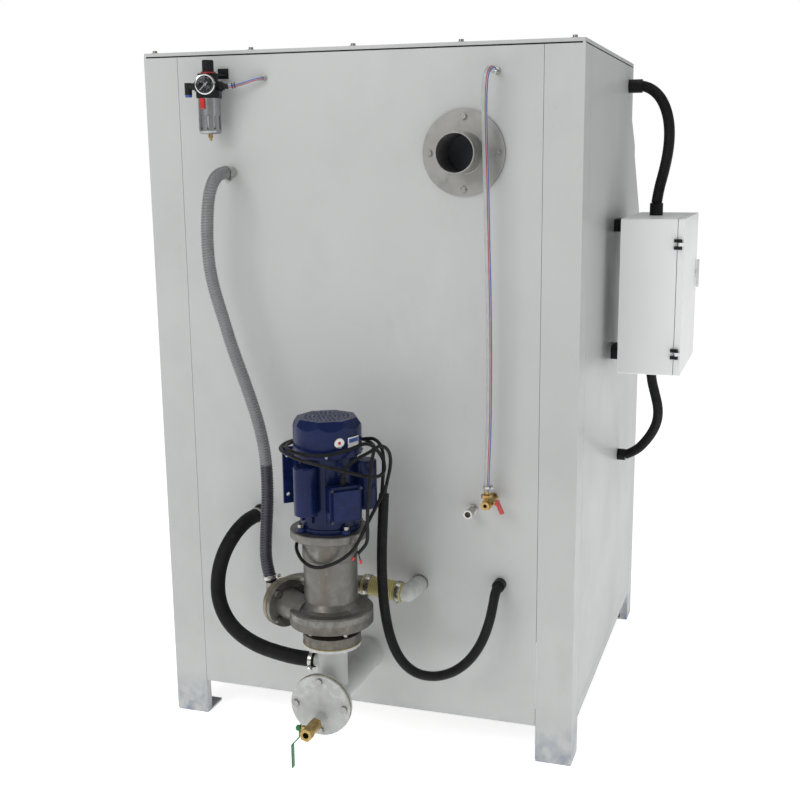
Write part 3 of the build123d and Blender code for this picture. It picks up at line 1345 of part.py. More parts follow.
save_tube(
    "motor_conduit",
    [
        (399, -612, 504),
        (399, -642, 500),
        (398, -661, 470),
        (390, -674, 420),
        (370, -686, 362),
        (335, -698, 312),
        (290, -710, 282),
        (240, -721, 273),
        (195, -733, 288),
        (163, -746, 329),
        (143, -757, 388),
        (133, -766, 460),
        (130, -775, 540),
        (133, -784, 625),
        (140, -793, 712),
        (147, -799, 793),
    ],
    CONDUIT_D,
)
save_tube(
    "upper_conduit",
    [
        (UPPER_EXIT[0] + 40, UPPER_EXIT[1], UPPER_EXIT[2]),
        (660, 167, 1831),
        (692, 150, 1807),
        (716, 118, 1771),
        (731, 84, 1730),
        (738, 55, 1686),
        (737, 33, 1636),
        (729, 13, 1582),
        (718, -3, 1532),
        (GLAND_X, GLAND_Y, BOX_Z[1] + 35),
    ],
    UPPER_CONDUIT_D,
)
save_tube(
    "lower_conduit",
    [
        (GLAND_X, GLAND_Y, BOX_Z[0] - 25),
        (716, -6, 975),
        (727, 6, 929),
        (736, 28, 880),
        (731, 58, 832),
        (711, 92, 786),
        (683, 122, 744),
        (655, 141, 714),
        (LOWER_EXIT[0] + 25, LOWER_EXIT[1], LOWER_EXIT[2]),
    ],
    LOWER_CONDUIT_D,
)
save_tube(
    "motor_cable",
    [
        round_pump(42, 104, 862),
        round_pump(43, 106, 878),
        round_pump(50, 110, 896),
        round_pump(63, 114, 909),
        round_pump(78, 118, 915),
        round_pump(95, 120, 917),
        round_pump(115, 118, 918),
        round_pump(140, 113, 920),
        round_pump(165, 113, 921),
        round_pump(190, 113, 922),
        round_pump(215, 112, 921),
        round_pump(240, 116, 920),
        round_pump(264, 119, 919),
        round_pump(288, 120, 918),
        round_pump(310, 120, 919),
        round_pump(332, 121, 918),
        round_pump(352, 125, 911),
        round_pump(374, 130, 904),
        round_pump(392, 132, 893),
        round_pump(408, 134, 879),
        round_pump(424, 138, 866),
        round_pump(441, 144, 856),
        round_pump(454, 148, 862),
        round_pump(460, 143, 885),
        round_pump(457, 132, 910),
        round_pump(449, 119, 932),
        round_pump(438, 107, 939),
        round_pump(425, 102, 934),
        round_pump(403, 102, 927),
        round_pump(378, 102, 921),
        round_pump(355, 104, 920),
        round_pump(334, 106, 922),
        round_pump(310, 107, 923),
        round_pump(282, 106, 922),
        round_pump(254, 104, 920),
        round_pump(226, 102, 918),
        round_pump(198, 101, 917),
        round_pump(170, 101, 917),
        round_pump(146, 103, 922),
        round_pump(129, 107, 930),
        round_pump(117, 117, 934),
        round_pump(109, 130, 927),
        round_pump(107, 139, 905),
        round_pump(107, 140, 868),
        round_pump(108, 137, 829),
        round_pump(108.8, 134.1, 797),
    ],
    CABLE_D,
)
save_tube(
    "sensor_cable",
    [
        round_pump(106.9, 142.4, 797),
        round_pump(105, 145, 813),
        round_pump(98, 147, 823),
        round_pump(88, 149, 815),
        round_pump(79, 147, 795),
        round_pump(71, 138, 762),
        round_pump(66, 125, 728),
        round_pump(61, 118, 702),
        round_pump(54, 111, 677),
        round_pump(45, 99, 658),
        round_pump(34, 91, 645),
        round_pump(19, 87, 635),
        round_pump(3, 86, 628),
        round_pump(-13, 87, 629),
        round_pump(-28, 88, 637),
        round_pump(-44, 88, 650),
        round_pump(-63, 87, 661),
        round_pump(-85, 86, 667),
        round_pump(-108, 86, 670),
        round_pump(-128, 86, 670),
        round_pump(-141, 86, 670),
    ],
    CABLE_D,
)
save_tube(
    "spare_cable",
    [
        round_pump(110.8, 142.4, 797),
        round_pump(111, 147, 821),
        round_pump(107, 155, 856),
        round_pump(101, 160, 890),
        round_pump(92, 160, 920),
        round_pump(82, 153, 938),
        round_pump(73, 147, 934),
        round_pump(67, 151, 906),
        round_pump(64, 153, 866),
        round_pump(63, 151, 822),
        round_pump(62, 147, 782),
        round_pump(63, 143, 744),
        round_pump(66, 136, 713),
        round_pump(70, 124, 690),
        round_pump(71, 109, 672),
        round_pump(67, 100, 660),
    ],
    CABLE_D,
)
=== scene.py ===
import math

import bmesh
import bpy
from mathutils import Matrix, Vector


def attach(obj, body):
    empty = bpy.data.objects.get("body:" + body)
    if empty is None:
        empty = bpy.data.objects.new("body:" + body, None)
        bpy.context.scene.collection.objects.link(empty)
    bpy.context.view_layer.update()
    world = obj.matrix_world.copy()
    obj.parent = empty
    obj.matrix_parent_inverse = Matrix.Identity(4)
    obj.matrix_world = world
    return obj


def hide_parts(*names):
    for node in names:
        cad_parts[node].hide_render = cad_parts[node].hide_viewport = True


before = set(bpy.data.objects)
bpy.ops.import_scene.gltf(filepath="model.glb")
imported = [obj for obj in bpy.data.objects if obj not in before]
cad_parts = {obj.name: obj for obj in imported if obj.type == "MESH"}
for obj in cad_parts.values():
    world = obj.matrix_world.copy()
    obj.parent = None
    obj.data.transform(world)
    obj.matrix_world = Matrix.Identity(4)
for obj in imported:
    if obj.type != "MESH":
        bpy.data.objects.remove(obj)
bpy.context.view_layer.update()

MM = 0.001
PUMP = Vector((0.015, -0.844, 0.0))
MOTOR_TURN = math.radians(42)
AIR = Vector((-0.380, -0.642, 0.0))
AIR_TURN = math.radians(15)
WALL_Y = -0.587
CAMERA_PLACE = (1.1090, -3.4652, 1.6143)
CAMERA_TURN = (17.61, 11.82, -0.36)  # azimuth, elevation and roll in degrees
CAMERA_LENS = 52.26
CAMERA_SHIFT = (-0.0337, 0.0069)
FLOOR_HALF = 30
DARK_BELOW = 0.2
DARK_SPECULAR, PALE_SPECULAR = 0.14, 0.42
SHARP_ANGLE = math.radians(38)
WRAP_PITCH = 0.031
scene = bpy.context.scene
scene.view_settings.view_transform = "Standard"


# ---------------------------------------------------------------- camera, light and floor
def place_camera():
    azimuth, elevation, roll = (math.radians(a) for a in CAMERA_TURN)
    back = Vector((
        math.sin(azimuth) * math.cos(elevation),
        -math.cos(azimuth) * math.cos(elevation),
        math.sin(elevation),
    ))
    right = Vector((math.cos(azimuth), math.sin(azimuth), 0))
    up = back.cross(right)
    across = right * math.cos(roll) + up * math.sin(roll)
    above = up * math.cos(roll) - right * math.sin(roll)
    data = bpy.data.cameras.new("camera")
    data.lens = CAMERA_LENS
    data.sensor_width = 36.0
    data.shift_x, data.shift_y = CAMERA_SHIFT
    data.clip_start, data.clip_end = 0.05, 60.0
    camera = bpy.data.objects.new("camera", data)
    scene.collection.objects.link(camera)
    turn = Matrix((across, above, back)).transposed().to_4x4()
    camera.matrix_world = Matrix.Translation(CAMERA_PLACE) @ turn
    scene.camera = camera


def area_light(name, place, target, size, energy, colour=(1, 1, 1)):
    data = bpy.data.lights.new(name, "AREA")
    data.shape = "RECTANGLE"
    data.size, data.size_y = size
    data.energy = energy
    data.color = colour
    lamp = bpy.data.objects.new(name, data)
    scene.collection.objects.link(lamp)
    lamp.location = place
    lamp.rotation_euler = (Vector(target) - Vector(place)).to_track_quat("-Z", "Y").to_euler()


def light_the_stage():
    world = bpy.data.worlds.new("studio")
    scene.world = world
    world.use_nodes = True
    nodes, links = world.node_tree.nodes, world.node_tree.links
    sky = nodes["Background"]
    sky.inputs["Color"].default_value = (1.0, 1.0, 1.0, 1.0)
    sky.inputs["Strength"].default_value = 0.32
    plain = nodes.new("ShaderNodeBackground")
    plain.inputs["Color"].default_value = (1.0, 1.0, 1.0, 1.0)
    rays = nodes.new("ShaderNodeLightPath")
    blend = nodes.new("ShaderNodeMixShader")
    links.new(rays.outputs["Is Camera Ray"], blend.inputs["Fac"])
    links.new(sky.outputs["Background"], blend.inputs[1])
    links.new(plain.outputs["Background"], blend.inputs[2])
    links.new(blend.outputs["Shader"], nodes["World Output"].inputs["Surface"])
    area_light("key", (-1.6, -4.6, 3.6), (0, -0.4, 0.9), (3.0, 2.4), 76)
    area_light("fill", (4.6, -1.6, 2.2), (0.3, 0, 1.0), (2.4, 2.8), 9, (0.93, 0.96, 1.0))
    area_light("top", (0.2, -0.6, 5.0), (0, -0.2, 0), (3.4, 3.4), 44)
    mesh = bpy.data.meshes.new("floor")
    h = FLOOR_HALF
    mesh.from_pydata([(-h, -h, 0), (h, -h, 0), (h, h, 0), (-h, h, 0)], [], [(0, 1, 2, 3)])
    floor = bpy.data.objects.new("floor", mesh)
    scene.collection.objects.link(floor)
    paint = bpy.data.materials.new("floor")
    paint.use_nodes = True
    shader = paint.node_tree.nodes["Principled BSDF"]
    shader.inputs["Base Color"].default_value = (0.97, 0.97, 0.97, 1)
    shader.inputs["Emission Color"].default_value = (1.0, 1.0, 1.0, 1)
    shader.inputs["Emission Strength"].default_value = 0.74
    shader.inputs["Roughness"].default_value = 0.75
    mesh.materials.append(paint)


place_camera()
light_the_stage()


# ---------------------------------------------------------------- materials
class Nodes:
    """A material's node tree, with short ways to add the nodes its looks are made of."""

    def __init__(self, name):
        self.material = bpy.data.materials.new(name)
        self.material.use_nodes = True
        self.tree = self.material.node_tree
        self.shader = self.tree.nodes["Principled BSDF"]
        self.coords = self.add("ShaderNodeTexCoord").outputs["Object"]

    def add(self, kind, **values):
        node = self.tree.nodes.new(kind)
        for key, value in values.items():
            setattr(node, key, value)
        return node

    def link(self, out, into):
        self.tree.links.new(out, into)

    def stretched(self, scale, turn=(0, 0, 0)):
        node = self.add("ShaderNodeMapping")
        node.inputs["Scale"].default_value = scale
        node.inputs["Rotation"].default_value = turn
        self.link(self.coords, node.inputs["Vector"])
        return node.outputs["Vector"]

    def noise(self, scale, detail=4.0, rough=0.55, coords=None):
        node = self.add("ShaderNodeTexNoise")
        node.inputs["Scale"].default_value = scale
        node.inputs["Detail"].default_value = detail
        node.inputs["Roughness"].default_value = rough
        self.link(coords or self.coords, node.inputs["Vector"])
        return node.outputs["Fac"]

    def ranged(self, value, low, high, to_low=0.0, to_high=1.0):
        node = self.add("ShaderNodeMapRange")
        node.inputs["From Min"].default_value = low
        node.inputs["From Max"].default_value = high
        node.inputs["To Min"].default_value = to_low
        node.inputs["To Max"].default_value = to_high
        self.link(value, node.inputs["Value"])
        return node.outputs["Result"]

    def times(self, a, b):
        node = self.add("ShaderNodeMath", operation="MULTIPLY")
        self.link(a, node.inputs[0])
        if isinstance(b, float):
            node.inputs[1].default_value = b
        else:
            self.link(b, node.inputs[1])
        return node.outputs[0]

    def mixed(self, factor, a, b):
        node = self.add("ShaderNodeMix", data_type="RGBA")
        self.link(factor, node.inputs["Factor"])
        for value, socket in ((a, node.inputs["A"]), (b, node.inputs["B"])):
            if isinstance(value, tuple):
                socket.default_value = (*value, 1.0)
            else:
                self.link(value, socket)
        return node.outputs["Result"]

    def height(self):
        node = self.add("ShaderNodeSeparateXYZ")
        self.link(self.coords, node.inputs[0])
        return node.outputs["Z"]

    def specks(self, scale, size):
        node = self.add("ShaderNodeTexVoronoi")
        node.inputs["Scale"].default_value = scale
        self.link(self.coords, node.inputs["Vector"])
        return self.ranged(node.outputs["Distance"], size, size * 0.4)


def shade(colour, factor):
    return tuple(min(1.0, c * factor) for c in colour)


def make(name, colour, rough=0.5, metal=0.0, vary=0.06, vary_scale=5.0, grain=0.1, grain_scale=500.0,
         rough_vary=0.12, coat=0.0, brushed=None, stains=(), specks=(), low=None, edge_wear_and_highlight=0.0,
         seed_turn=0.0):
    """A painted, moulded or metal finish with colour variation, grain, stains, specks, wear along convex
    edges that also carries a painted highlight, and, where asked, painted shade towards the floor.
    """
    n = Nodes(name)
    base = n.mixed(
        n.ranged(n.noise(vary_scale), 0.35, 0.68), shade(colour, 1 - vary), shade(colour, 1 + vary)
    )
    for stain, scale, start, stop, amount, stretch in stains:
        patch = n.noise(scale, 6.0, 0.62, n.stretched(stretch, (0, 0, seed_turn)))
        base = n.mixed(n.ranged(patch, start, stop, 0.0, amount), base, stain)
    for speck, scale, size, amount in specks:
        clump = n.ranged(n.noise(scale * 0.08), 0.45, 0.62)
        dots = n.times(n.specks(scale, size), clump)
        base = n.mixed(n.times(dots, amount), base, speck)
    # painted shade: the colour darkens in blotches towards the floor, below the given height
    if low:
        floor_shade_colour, top, amount = low
        near = n.ranged(n.height(), top, 0.0, 0.0, amount)
        base = n.mixed(n.times(near, n.ranged(n.noise(24.0, 6.0), 0.40, 0.62)), base, floor_shade_colour)
    # a lighter copy of the colour on convex edges, broken up by noise: partly wear, partly a painted
    # highlight along the edges
    if edge_wear_and_highlight:
        convex_edges = n.add("ShaderNodeNewGeometry").outputs["Pointiness"]
        edge_wear_and_highlight_mask = n.times(n.ranged(convex_edges, 0.53, 0.60), n.ranged(n.noise(60.0), 0.42, 0.6))
        base = n.mixed(n.times(edge_wear_and_highlight_mask, edge_wear_and_highlight), base, shade(colour, 1.7))
    n.link(base, n.shader.inputs["Base Color"])
    n.shader.inputs["Metallic"].default_value = metal
    specular = DARK_SPECULAR if max(colour) < DARK_BELOW else PALE_SPECULAR
    n.shader.inputs["Specular IOR Level"].default_value = specular
    n.shader.inputs["Coat Weight"].default_value = coat
    n.shader.inputs["Coat Roughness"].default_value = 0.12
    streaks = n.stretched(brushed) if brushed else None
    texture = n.noise(grain_scale, 3.0, 0.6, streaks)
    cloudy = n.noise(vary_scale * 2.3, 4.0)
    roughness = n.ranged(cloudy, 0.3, 0.72, rough - rough_vary, rough + rough_vary)
    n.link(roughness, n.shader.inputs["Roughness"])
    bump = n.add("ShaderNodeBump")
    bump.inputs["Strength"].default_value = grain
    bump.inputs["Distance"].default_value = 0.0006
    n.link(texture, bump.inputs["Height"])
    n.link(bump.outputs["Normal"], n.shader.inputs["Normal"])
    return n.material


GREY_DIRT = (0.30, 0.29, 0.27)
BROWN = (0.20, 0.12, 0.06)
PAINT = (0.503, 0.514, 0.507)
ALL = (1, 1, 1)
DOWN = (1, 1, 0.16)
smudges = (
    (shade(PAINT, 0.86), 2.6, 0.50, 0.72, 0.55, ALL),
    (GREY_DIRT, 7.5, 0.63, 0.80, 0.22, (1, 1, 0.5)),
    (shade(PAINT, 1.12), 4.0, 0.56, 0.74, 0.5, (1, 1, 0.4)),
)
paint_specks = ((GREY_DIRT, 55.0, 0.05, 0.55), ((0.10, 0.09, 0.09), 24.0, 0.030, 0.7))
# the bracket, motor, casting, volute and pipe finishes below get lighter convex edges: partly wear,
# partly a painted highlight
M = {
    # the cabinet paint gets painted shade near the floor: a darker bluish grey below 0.13 m, in blotches
    "paint": make("cabinet_paint", PAINT, 0.40, 0.0, 0.025, 1.6, 0.07, 900.0, 0.07, 0.10,
                  stains=smudges, specks=paint_specks, low=((0.16, 0.20, 0.29), 0.13, 0.75)),
    "top": make("top_paint", shade(PAINT, 0.96), 0.45, 0.0, 0.03, 2.0, 0.08, 900.0, 0.08,
                stains=smudges, specks=paint_specks),
    "box": make("enclosure_paint", (0.86, 0.87, 0.87), 0.38, 0.0, 0.02, 3.0, 0.10, 1100.0, 0.06, 0.1,
                stains=((GREY_DIRT, 9.0, 0.66, 0.82, 0.15, ALL),),
                specks=((GREY_DIRT, 70.0, 0.05, 0.35),)),
    "tank": make("tank_steel", (0.26, 0.255, 0.245), 0.34, 1.0, 0.06, 3.0, 0.16, 260.0, 0.08,
                 brushed=(1, 1, 0.03), stains=((BROWN, 4.0, 0.62, 0.85, 0.25, DOWN),)),
    "bar": make("bar_steel", (0.13, 0.125, 0.115), 0.38, 1.0, 0.08, 9.0, 0.25, 300.0, 0.1,
                stains=((BROWN, 14.0, 0.60, 0.8, 0.3, ALL),)),
    "iron": make("drive_iron", (0.05, 0.055, 0.065), 0.55, 0.2, 0.2, 12.0, 0.4, 260.0, 0.1),
    "vent": make("vent_steel", (0.32, 0.317, 0.305), 0.38, 0.8, 0.08, 16.0, 0.18, 420.0, 0.1,
                 brushed=(1, 0.05, 1),
                 stains=((BROWN, 17.0, 0.60, 0.80, 0.45, ALL),
                         ((0.50, 0.50, 0.48), 8.0, 0.55, 0.7, 0.6, ALL))),
    "zinc": make("zinc_bolt", (0.34, 0.335, 0.32), 0.32, 1.0, 0.10, 90.0, 0.2, 900.0, 0.1,
                 stains=((BROWN, 120.0, 0.62, 0.8, 0.35, ALL),)),
    "matt_black": make("bracket_black", (0.014, 0.014, 0.016), 0.5, 0.0, 0.25, 30.0, 0.25, 700.0, 0.1,
                       edge_wear_and_highlight=0.4),
    "body_black": make("regulator_black", (0.016, 0.016, 0.018), 0.36, 0.0, 0.2, 60.0, 0.3, 1600.0, 0.1),
    "chrome": make("chrome", (0.72, 0.72, 0.72), 0.12, 1.0, 0.04, 40.0, 0.04, 900.0, 0.05),
    "white": make("dial_white", (0.82, 0.82, 0.80), 0.5, 0.0, 0.04, 80.0, 0.05, 900.0),
    "red": make("lock_red", (0.52, 0.020, 0.016), 0.30, 0.0, 0.10, 70.0, 0.1, 900.0, 0.06, 0.3),
    "lever_red": make("lever_red", (0.50, 0.030, 0.025), 0.32, 0.0, 0.12, 90.0, 0.1, 900.0, 0.08, 0.3,
                      stains=(((0.08, 0.02, 0.02), 110.0, 0.6, 0.75, 0.5, ALL),)),
    "brass": make("brass", (0.42, 0.29, 0.11), 0.34, 1.0, 0.14, 60.0, 0.25, 500.0, 0.12,
                  stains=(((0.16, 0.09, 0.04), 70.0, 0.56, 0.78, 0.55, ALL),
                          ((0.55, 0.50, 0.40), 50.0, 0.58, 0.75, 0.5, ALL))),
    "blue": make("motor_blue", (0.005, 0.012, 0.060), 0.30, 0.0, 0.16, 14.0, 0.28, 320.0, 0.09, 0.10,
                 stains=(((0.004, 0.008, 0.03), 26.0, 0.56, 0.78, 0.55, ALL),
                         ((0.10, 0.13, 0.24), 40.0, 0.66, 0.80, 0.35, ALL)),
                 specks=(((0.16, 0.18, 0.24), 160.0, 0.05, 0.4),), edge_wear_and_highlight=0.5),
    "casting": make("pump_casting", (0.165, 0.16, 0.148), 0.42, 0.7, 0.12, 22.0, 0.35, 240.0, 0.12,
                    stains=(((0.13, 0.095, 0.06), 13.0, 0.56, 0.76, 0.6, DOWN),
                            ((0.36, 0.36, 0.34), 18.0, 0.57, 0.72, 0.5, ALL)),
                    specks=(((0.05, 0.04, 0.03), 130.0, 0.06, 0.7),), edge_wear_and_highlight=0.4),
    "volute": make("volute_casting", (0.135, 0.128, 0.112), 0.48, 0.65, 0.14, 24.0, 0.5, 200.0, 0.12,
                   stains=(((0.12, 0.075, 0.04), 14.0, 0.52, 0.74, 0.7, ALL),
                           ((0.34, 0.33, 0.30), 20.0, 0.58, 0.72, 0.5, ALL)),
                   specks=(((0.04, 0.03, 0.02), 120.0, 0.07, 0.8),), edge_wear_and_highlight=0.5),
    "rotor": make("rotor_steel", (0.5, 0.5, 0.5), 0.25, 1.0, 0.05, 30.0, 0.1, 500.0, 0.06),
    "fan": make("fan_plastic", (0.02, 0.02, 0.02), 0.5, 0.0, 0.1, 30.0, 0.2, 600.0),
    "white_pipe": make("pipe_white", (0.44, 0.45, 0.44), 0.42, 0.0, 0.06, 9.0, 0.3, 260.0, 0.1, 0.1,
                       stains=(((0.30, 0.28, 0.24), 16.0, 0.60, 0.78, 0.55, ALL),
                               ((0.36, 0.29, 0.20), 30.0, 0.66, 0.80, 0.5, DOWN)),
                       specks=(((0.12, 0.09, 0.07), 80.0, 0.07, 0.75),), edge_wear_and_highlight=0.3),
    "stained_steel": make("pipe_steel", (0.24, 0.225, 0.195), 0.40, 0.75, 0.12, 26.0, 0.35, 260.0, 0.1,
                          stains=(((0.13, 0.08, 0.045), 18.0, 0.53, 0.75, 0.65, ALL),)),
    "gasket": make("gasket_yellow", (0.20, 0.155, 0.035), 0.6, 0.0, 0.2, 60.0, 0.2, 500.0),
    "rubber": make("black_rubber", (0.010, 0.010, 0.011), 0.62, 0.0, 0.3, 20.0, 0.2, 700.0, 0.1,
                   stains=(((0.07, 0.068, 0.064), 28.0, 0.60, 0.80, 0.5, ALL),)),
    "green": make("lever_green", (0.008, 0.15, 0.05), 0.34, 0.0, 0.15, 60.0, 0.15, 600.0, 0.1, 0.3),
    "steel": make("fitting_steel", (0.50, 0.495, 0.47), 0.30, 1.0, 0.08, 70.0, 0.2, 600.0, 0.1,
                  stains=((BROWN, 60.0, 0.62, 0.8, 0.35, ALL),)),
    "polished": make("bowl_polished", (0.36, 0.37, 0.38), 0.24, 1.0, 0.03, 12.0, 0.03, 900.0, 0.04),
    "gland": make("gland_black", (0.012, 0.012, 0.013), 0.42, 0.0, 0.2, 60.0, 0.2, 900.0, 0.08),
    "cable": make("cable_black", (0.012, 0.012, 0.013), 0.40, 0.0, 0.25, 60.0, 0.12, 900.0, 0.08),
    "conduit": make("conduit_black", (0.012, 0.012, 0.013), 0.40, 0.0, 0.25, 40.0, 0.12, 900.0, 0.08,
                    stains=(((0.06, 0.058, 0.055), 34.0, 0.62, 0.8, 0.4, ALL),)),
    "plate": make("badge_silver", (0.55, 0.55, 0.54), 0.28, 1.0, 0.05, 60.0, 0.1, 900.0, 0.05),
}


def two_level(name, upper, lower, level, rough, **extra):
    """A translucent hose finish whose colour changes where the liquid inside stands."""
    n = Nodes(name)
    fluid = n.ranged(n.height(), level + 0.004, level - 0.004)
    clouds = n.ranged(n.noise(30.0), 0.35, 0.7)
    above = n.mixed(clouds, shade(upper, 0.85), upper)
    below = n.mixed(clouds, shade(lower, 0.7), lower)
    base = n.mixed(fluid, above, below)
    n.link(base, n.shader.inputs["Base Color"])
    n.shader.inputs["Roughness"].default_value = rough
    bump = n.add("ShaderNodeBump")
    bump.inputs["Strength"].default_value = 0.15
    bump.inputs["Distance"].default_value = 0.0004
    n.link(n.noise(260.0), bump.inputs["Height"])
    n.link(bump.outputs["Normal"], n.shader.inputs["Normal"])
    for key, value in extra.items():
        n.shader.inputs[key.replace("_", " ")].default_value = value
    return n.material


M["grey_hose"] = two_level("grey_hose", (0.20, 0.205, 0.21), (0.028, 0.026, 0.045), 0.83, 0.30,
                           Coat_Weight=0.15)
M["yellow_hose"] = two_level("yellow_hose", (0.50, 0.44, 0.17), (0.46, 0.40, 0.15), 0.2, 0.36,
                             Coat_Weight=0.2)
M["clear"] = two_level("clear_hose", (0.72, 0.76, 0.76), (0.70, 0.75, 0.75), 0.2, 0.14,
                       Transmission_Weight=0.62, IOR=1.42, Coat_Weight=0.3)
M["lens"] = two_level("gauge_lens", (0.95, 0.97, 1.0), (0.95, 0.97, 1.0), 0.2, 0.03,
                      Transmission_Weight=1.0, IOR=1.3)
M["bowl"] = two_level("bowl_clear", (0.80, 0.82, 0.84), (0.78, 0.80, 0.82), 0.2, 0.16,
                      Transmission_Weight=0.4, IOR=1.45, Coat_Weight=0.4)
M["stripe_red"] = make("stripe_red", (0.40, 0.04, 0.05), 0.4, 0.0, 0.1, 60.0, 0.05, 500.0)
M["stripe_blue"] = make("stripe_blue", (0.05, 0.10, 0.38), 0.4, 0.0, 0.1, 60.0, 0.05, 500.0)

NODE_LOOK = {
    "paint": "corner_posts pump_side_panel side_panels base_rails load_side_panel hood_header lid_shell",
    "top": "top_plate",
    "box": "enclosure_box enclosure_door",
    "tank": "wash_tank sump_strainer enclosure_backplate",
    "bar": "turntable spray_pipes heater_elements",
    "iron": "turntable_drive",
    "vent": "vent_spigot",
    "zinc": "bolts",
    "matt_black": "wall_brackets lid_latch",
    "body_black": "regulator_body regulator_knob",
    "chrome": "gauge_case door_handle",
    "white": "gauge_needle",
    "red": "bowl_lock",
    "brass": "bowl_drain drain_valve_body tap_body",
    "blue": "fan_cowl motor_body capacitor_housings terminal_box",
    "casting": "lantern",
    "volute": "volute",
    "rotor": "shaft_and_rotor impeller",
    "fan": "cooling_fan",
    "white_pipe": "sump_tee blind_flange",
    "stained_steel": "discharge_pipe",
    "gasket": "flange_gaskets",
    "green": "drain_valve_lever",
    "lever_red": "tap_lever",
    "steel": "hose_fittings",
    "polished": "filter_bowl",
    "gland": "cable_glands",
    "rubber": "lid_seal black_rubber_hose",
    "cable": "motor_cable sensor_cable spare_cable",
    "conduit": "motor_conduit upper_conduit lower_conduit",
    "grey_hose": "grey_spiral_hose",
    "yellow_hose": "yellow_hose",
    "clear": "clear_level_hose air_hose",
}
for look, names in NODE_LOOK.items():
    for node_name in names.split():
        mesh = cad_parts[node_name].data
        mesh.materials.clear()
        mesh.materials.append(M[look])


# ---------------------------------------------------------------- mesh helpers
def piece(name, bm, look, body="cabinet", smooth=True, place=None):
    mesh = bpy.data.meshes.new(name)
    bm.normal_update()
    bm.to_mesh(mesh)
    bm.free()
    if smooth:
        mesh.shade_smooth()
        mesh.set_sharp_from_angle(angle=SHARP_ANGLE)
    mesh.materials.append(M[look])
    if place is not None:
        mesh.transform(place)
    item = bpy.data.objects.new(name, mesh)
    scene.collection.objects.link(item)
    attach(item, body)
    return item


def looking(origin, axis, turn=0.0):
    """A placement whose own Z runs along axis from origin."""
    spin = Matrix.Rotation(turn, 4, "Z")
    return Matrix.Translation(origin) @ Vector(axis).to_track_quat("Z", "Y").to_matrix().to_4x4() @ spin


def turned(profile, sides=48, closed=True):
    """A solid of revolution from (radius, height) points, about Z."""
    bm = bmesh.new()
    rings = []
    for radius, height in profile:
        if radius < 1e-7:
            rings.append([bm.verts.new((0, 0, height))])
            continue
        rings.append([
            bm.verts.new((
                radius * math.cos(2 * math.pi * i / sides),
                radius * math.sin(2 * math.pi * i / sides),
                height,
            ))
            for i in range(sides)
        ])
    pairs = list(zip(rings, rings[1:]))
    if closed:
        pairs.append((rings[-1], rings[0]))
    for a, b in pairs:
        for i in range(sides):
            j = (i + 1) % sides
            corners = [a[i % len(a)], a[j % len(a)], b[j % len(b)], b[i % len(b)]]
            unique = list(dict.fromkeys(corners))
            if len(unique) > 2:
                bm.faces.new(unique)
    bmesh.ops.recalc_face_normals(bm, faces=bm.faces)
    return bm


def slab(size, bevel=0.001, steps=2):
    """A block with rounded edges, centred on the origin."""
    bm = bmesh.new()
    bmesh.ops.create_cube(bm, size=1.0)
    bmesh.ops.scale(bm, vec=Vector(size), verts=bm.verts)
    bmesh.ops.bevel(bm, geom=list(bm.edges), offset=bevel, segments=steps, affect="EDGES", profile=0.6)
    return bm


def joined(parts):
    """One bmesh holding several placed ones."""
    whole = bmesh.new()
    for bm, place in parts:
        mesh = bpy.data.meshes.new("part")
        bm.to_mesh(mesh)
        bm.free()
        mesh.transform(place)
        whole.from_mesh(mesh)
        bpy.data.meshes.remove(mesh)
    return whole


# ---------------------------------------------------------------- hoses, conduits and cables
def centreline(route):
    """Points along the smooth line that a route's control points give."""
    curve = bpy.data.curves.new("route", "CURVE")
    curve.dimensions = "3D"
    curve.resolution_u = 24
    spline = curve.splines.new("NURBS")
    spline.points.add(len(route) - 1)
    for point, place in zip(spline.points, route):
        point.co = (*place, 1.0)
    spline.order_u = 3
    spline.use_endpoint_u = True
    holder = bpy.data.objects.new("route", curve)
    mesh = bpy.data.meshes.new_from_object(holder)
    points = [v.co.copy() for v in mesh.vertices]
    bpy.data.meshes.remove(mesh)
    bpy.data.objects.remove(holder)
    bpy.data.curves.remove(curve)
    return points


def evenly(points, step):
    """The same line with its points an even step apart, and its length."""
    lengths = [0.0]
    for a, b in zip(points, points[1:]):
        lengths.append(lengths[-1] + (b - a).length)
    count = max(2, round(lengths[-1] / step))
    spaced, k = [], 0
    for i in range(count + 1):
        want = lengths[-1] * i / count
        while k < len(points) - 2 and lengths[k + 1] < want:
            k += 1
        span = max(lengths[k + 1] - lengths[k], 1e-9)
        spaced.append(points[k].lerp(points[k + 1], (want - lengths[k]) / span))
    return spaced, lengths[-1]


def frames_along(points):
    """Each point's forward, side and up directions, carried along without twist."""
    made = []
    side = None
    for i, point in enumerate(points):
        forward = (points[min(i + 1, len(points) - 1)] - points[max(i - 1, 0)]).normalized()
        if side is None:
            side = forward.orthogonal().normalized()
        side = (side - forward * side.dot(forward)).normalized()
        made.append((forward, side, forward.cross(side)))
    return made


def swept(points, radius_at, sides=24, step=None):
    """A closed tube along points; radius_at(distance, angle) gives its surface."""
    bm = bmesh.new()
    rings = []
    travelled = 0.0
    for i, (point, (_, side, up)) in enumerate(zip(points, frames_along(points))):
        if i:
            travelled += (point - points[i - 1]).length
        ring = []
        for k in range(sides):
            angle = 2 * math.pi * k / sides
            radius = radius_at(travelled, angle)
            ring.append(bm.verts.new(point + (side * math.cos(angle) + up * math.sin(angle)) * radius))
        rings.append(ring)
    for a, b in zip(rings, rings[1:]):
        for k in range(sides):
            bm.faces.new((a[k], a[(k + 1) % sides], b[(k + 1) % sides], b[k]))
    bm.faces.new(rings[0][::-1])
    bm.faces.new(rings[-1])
    return bm


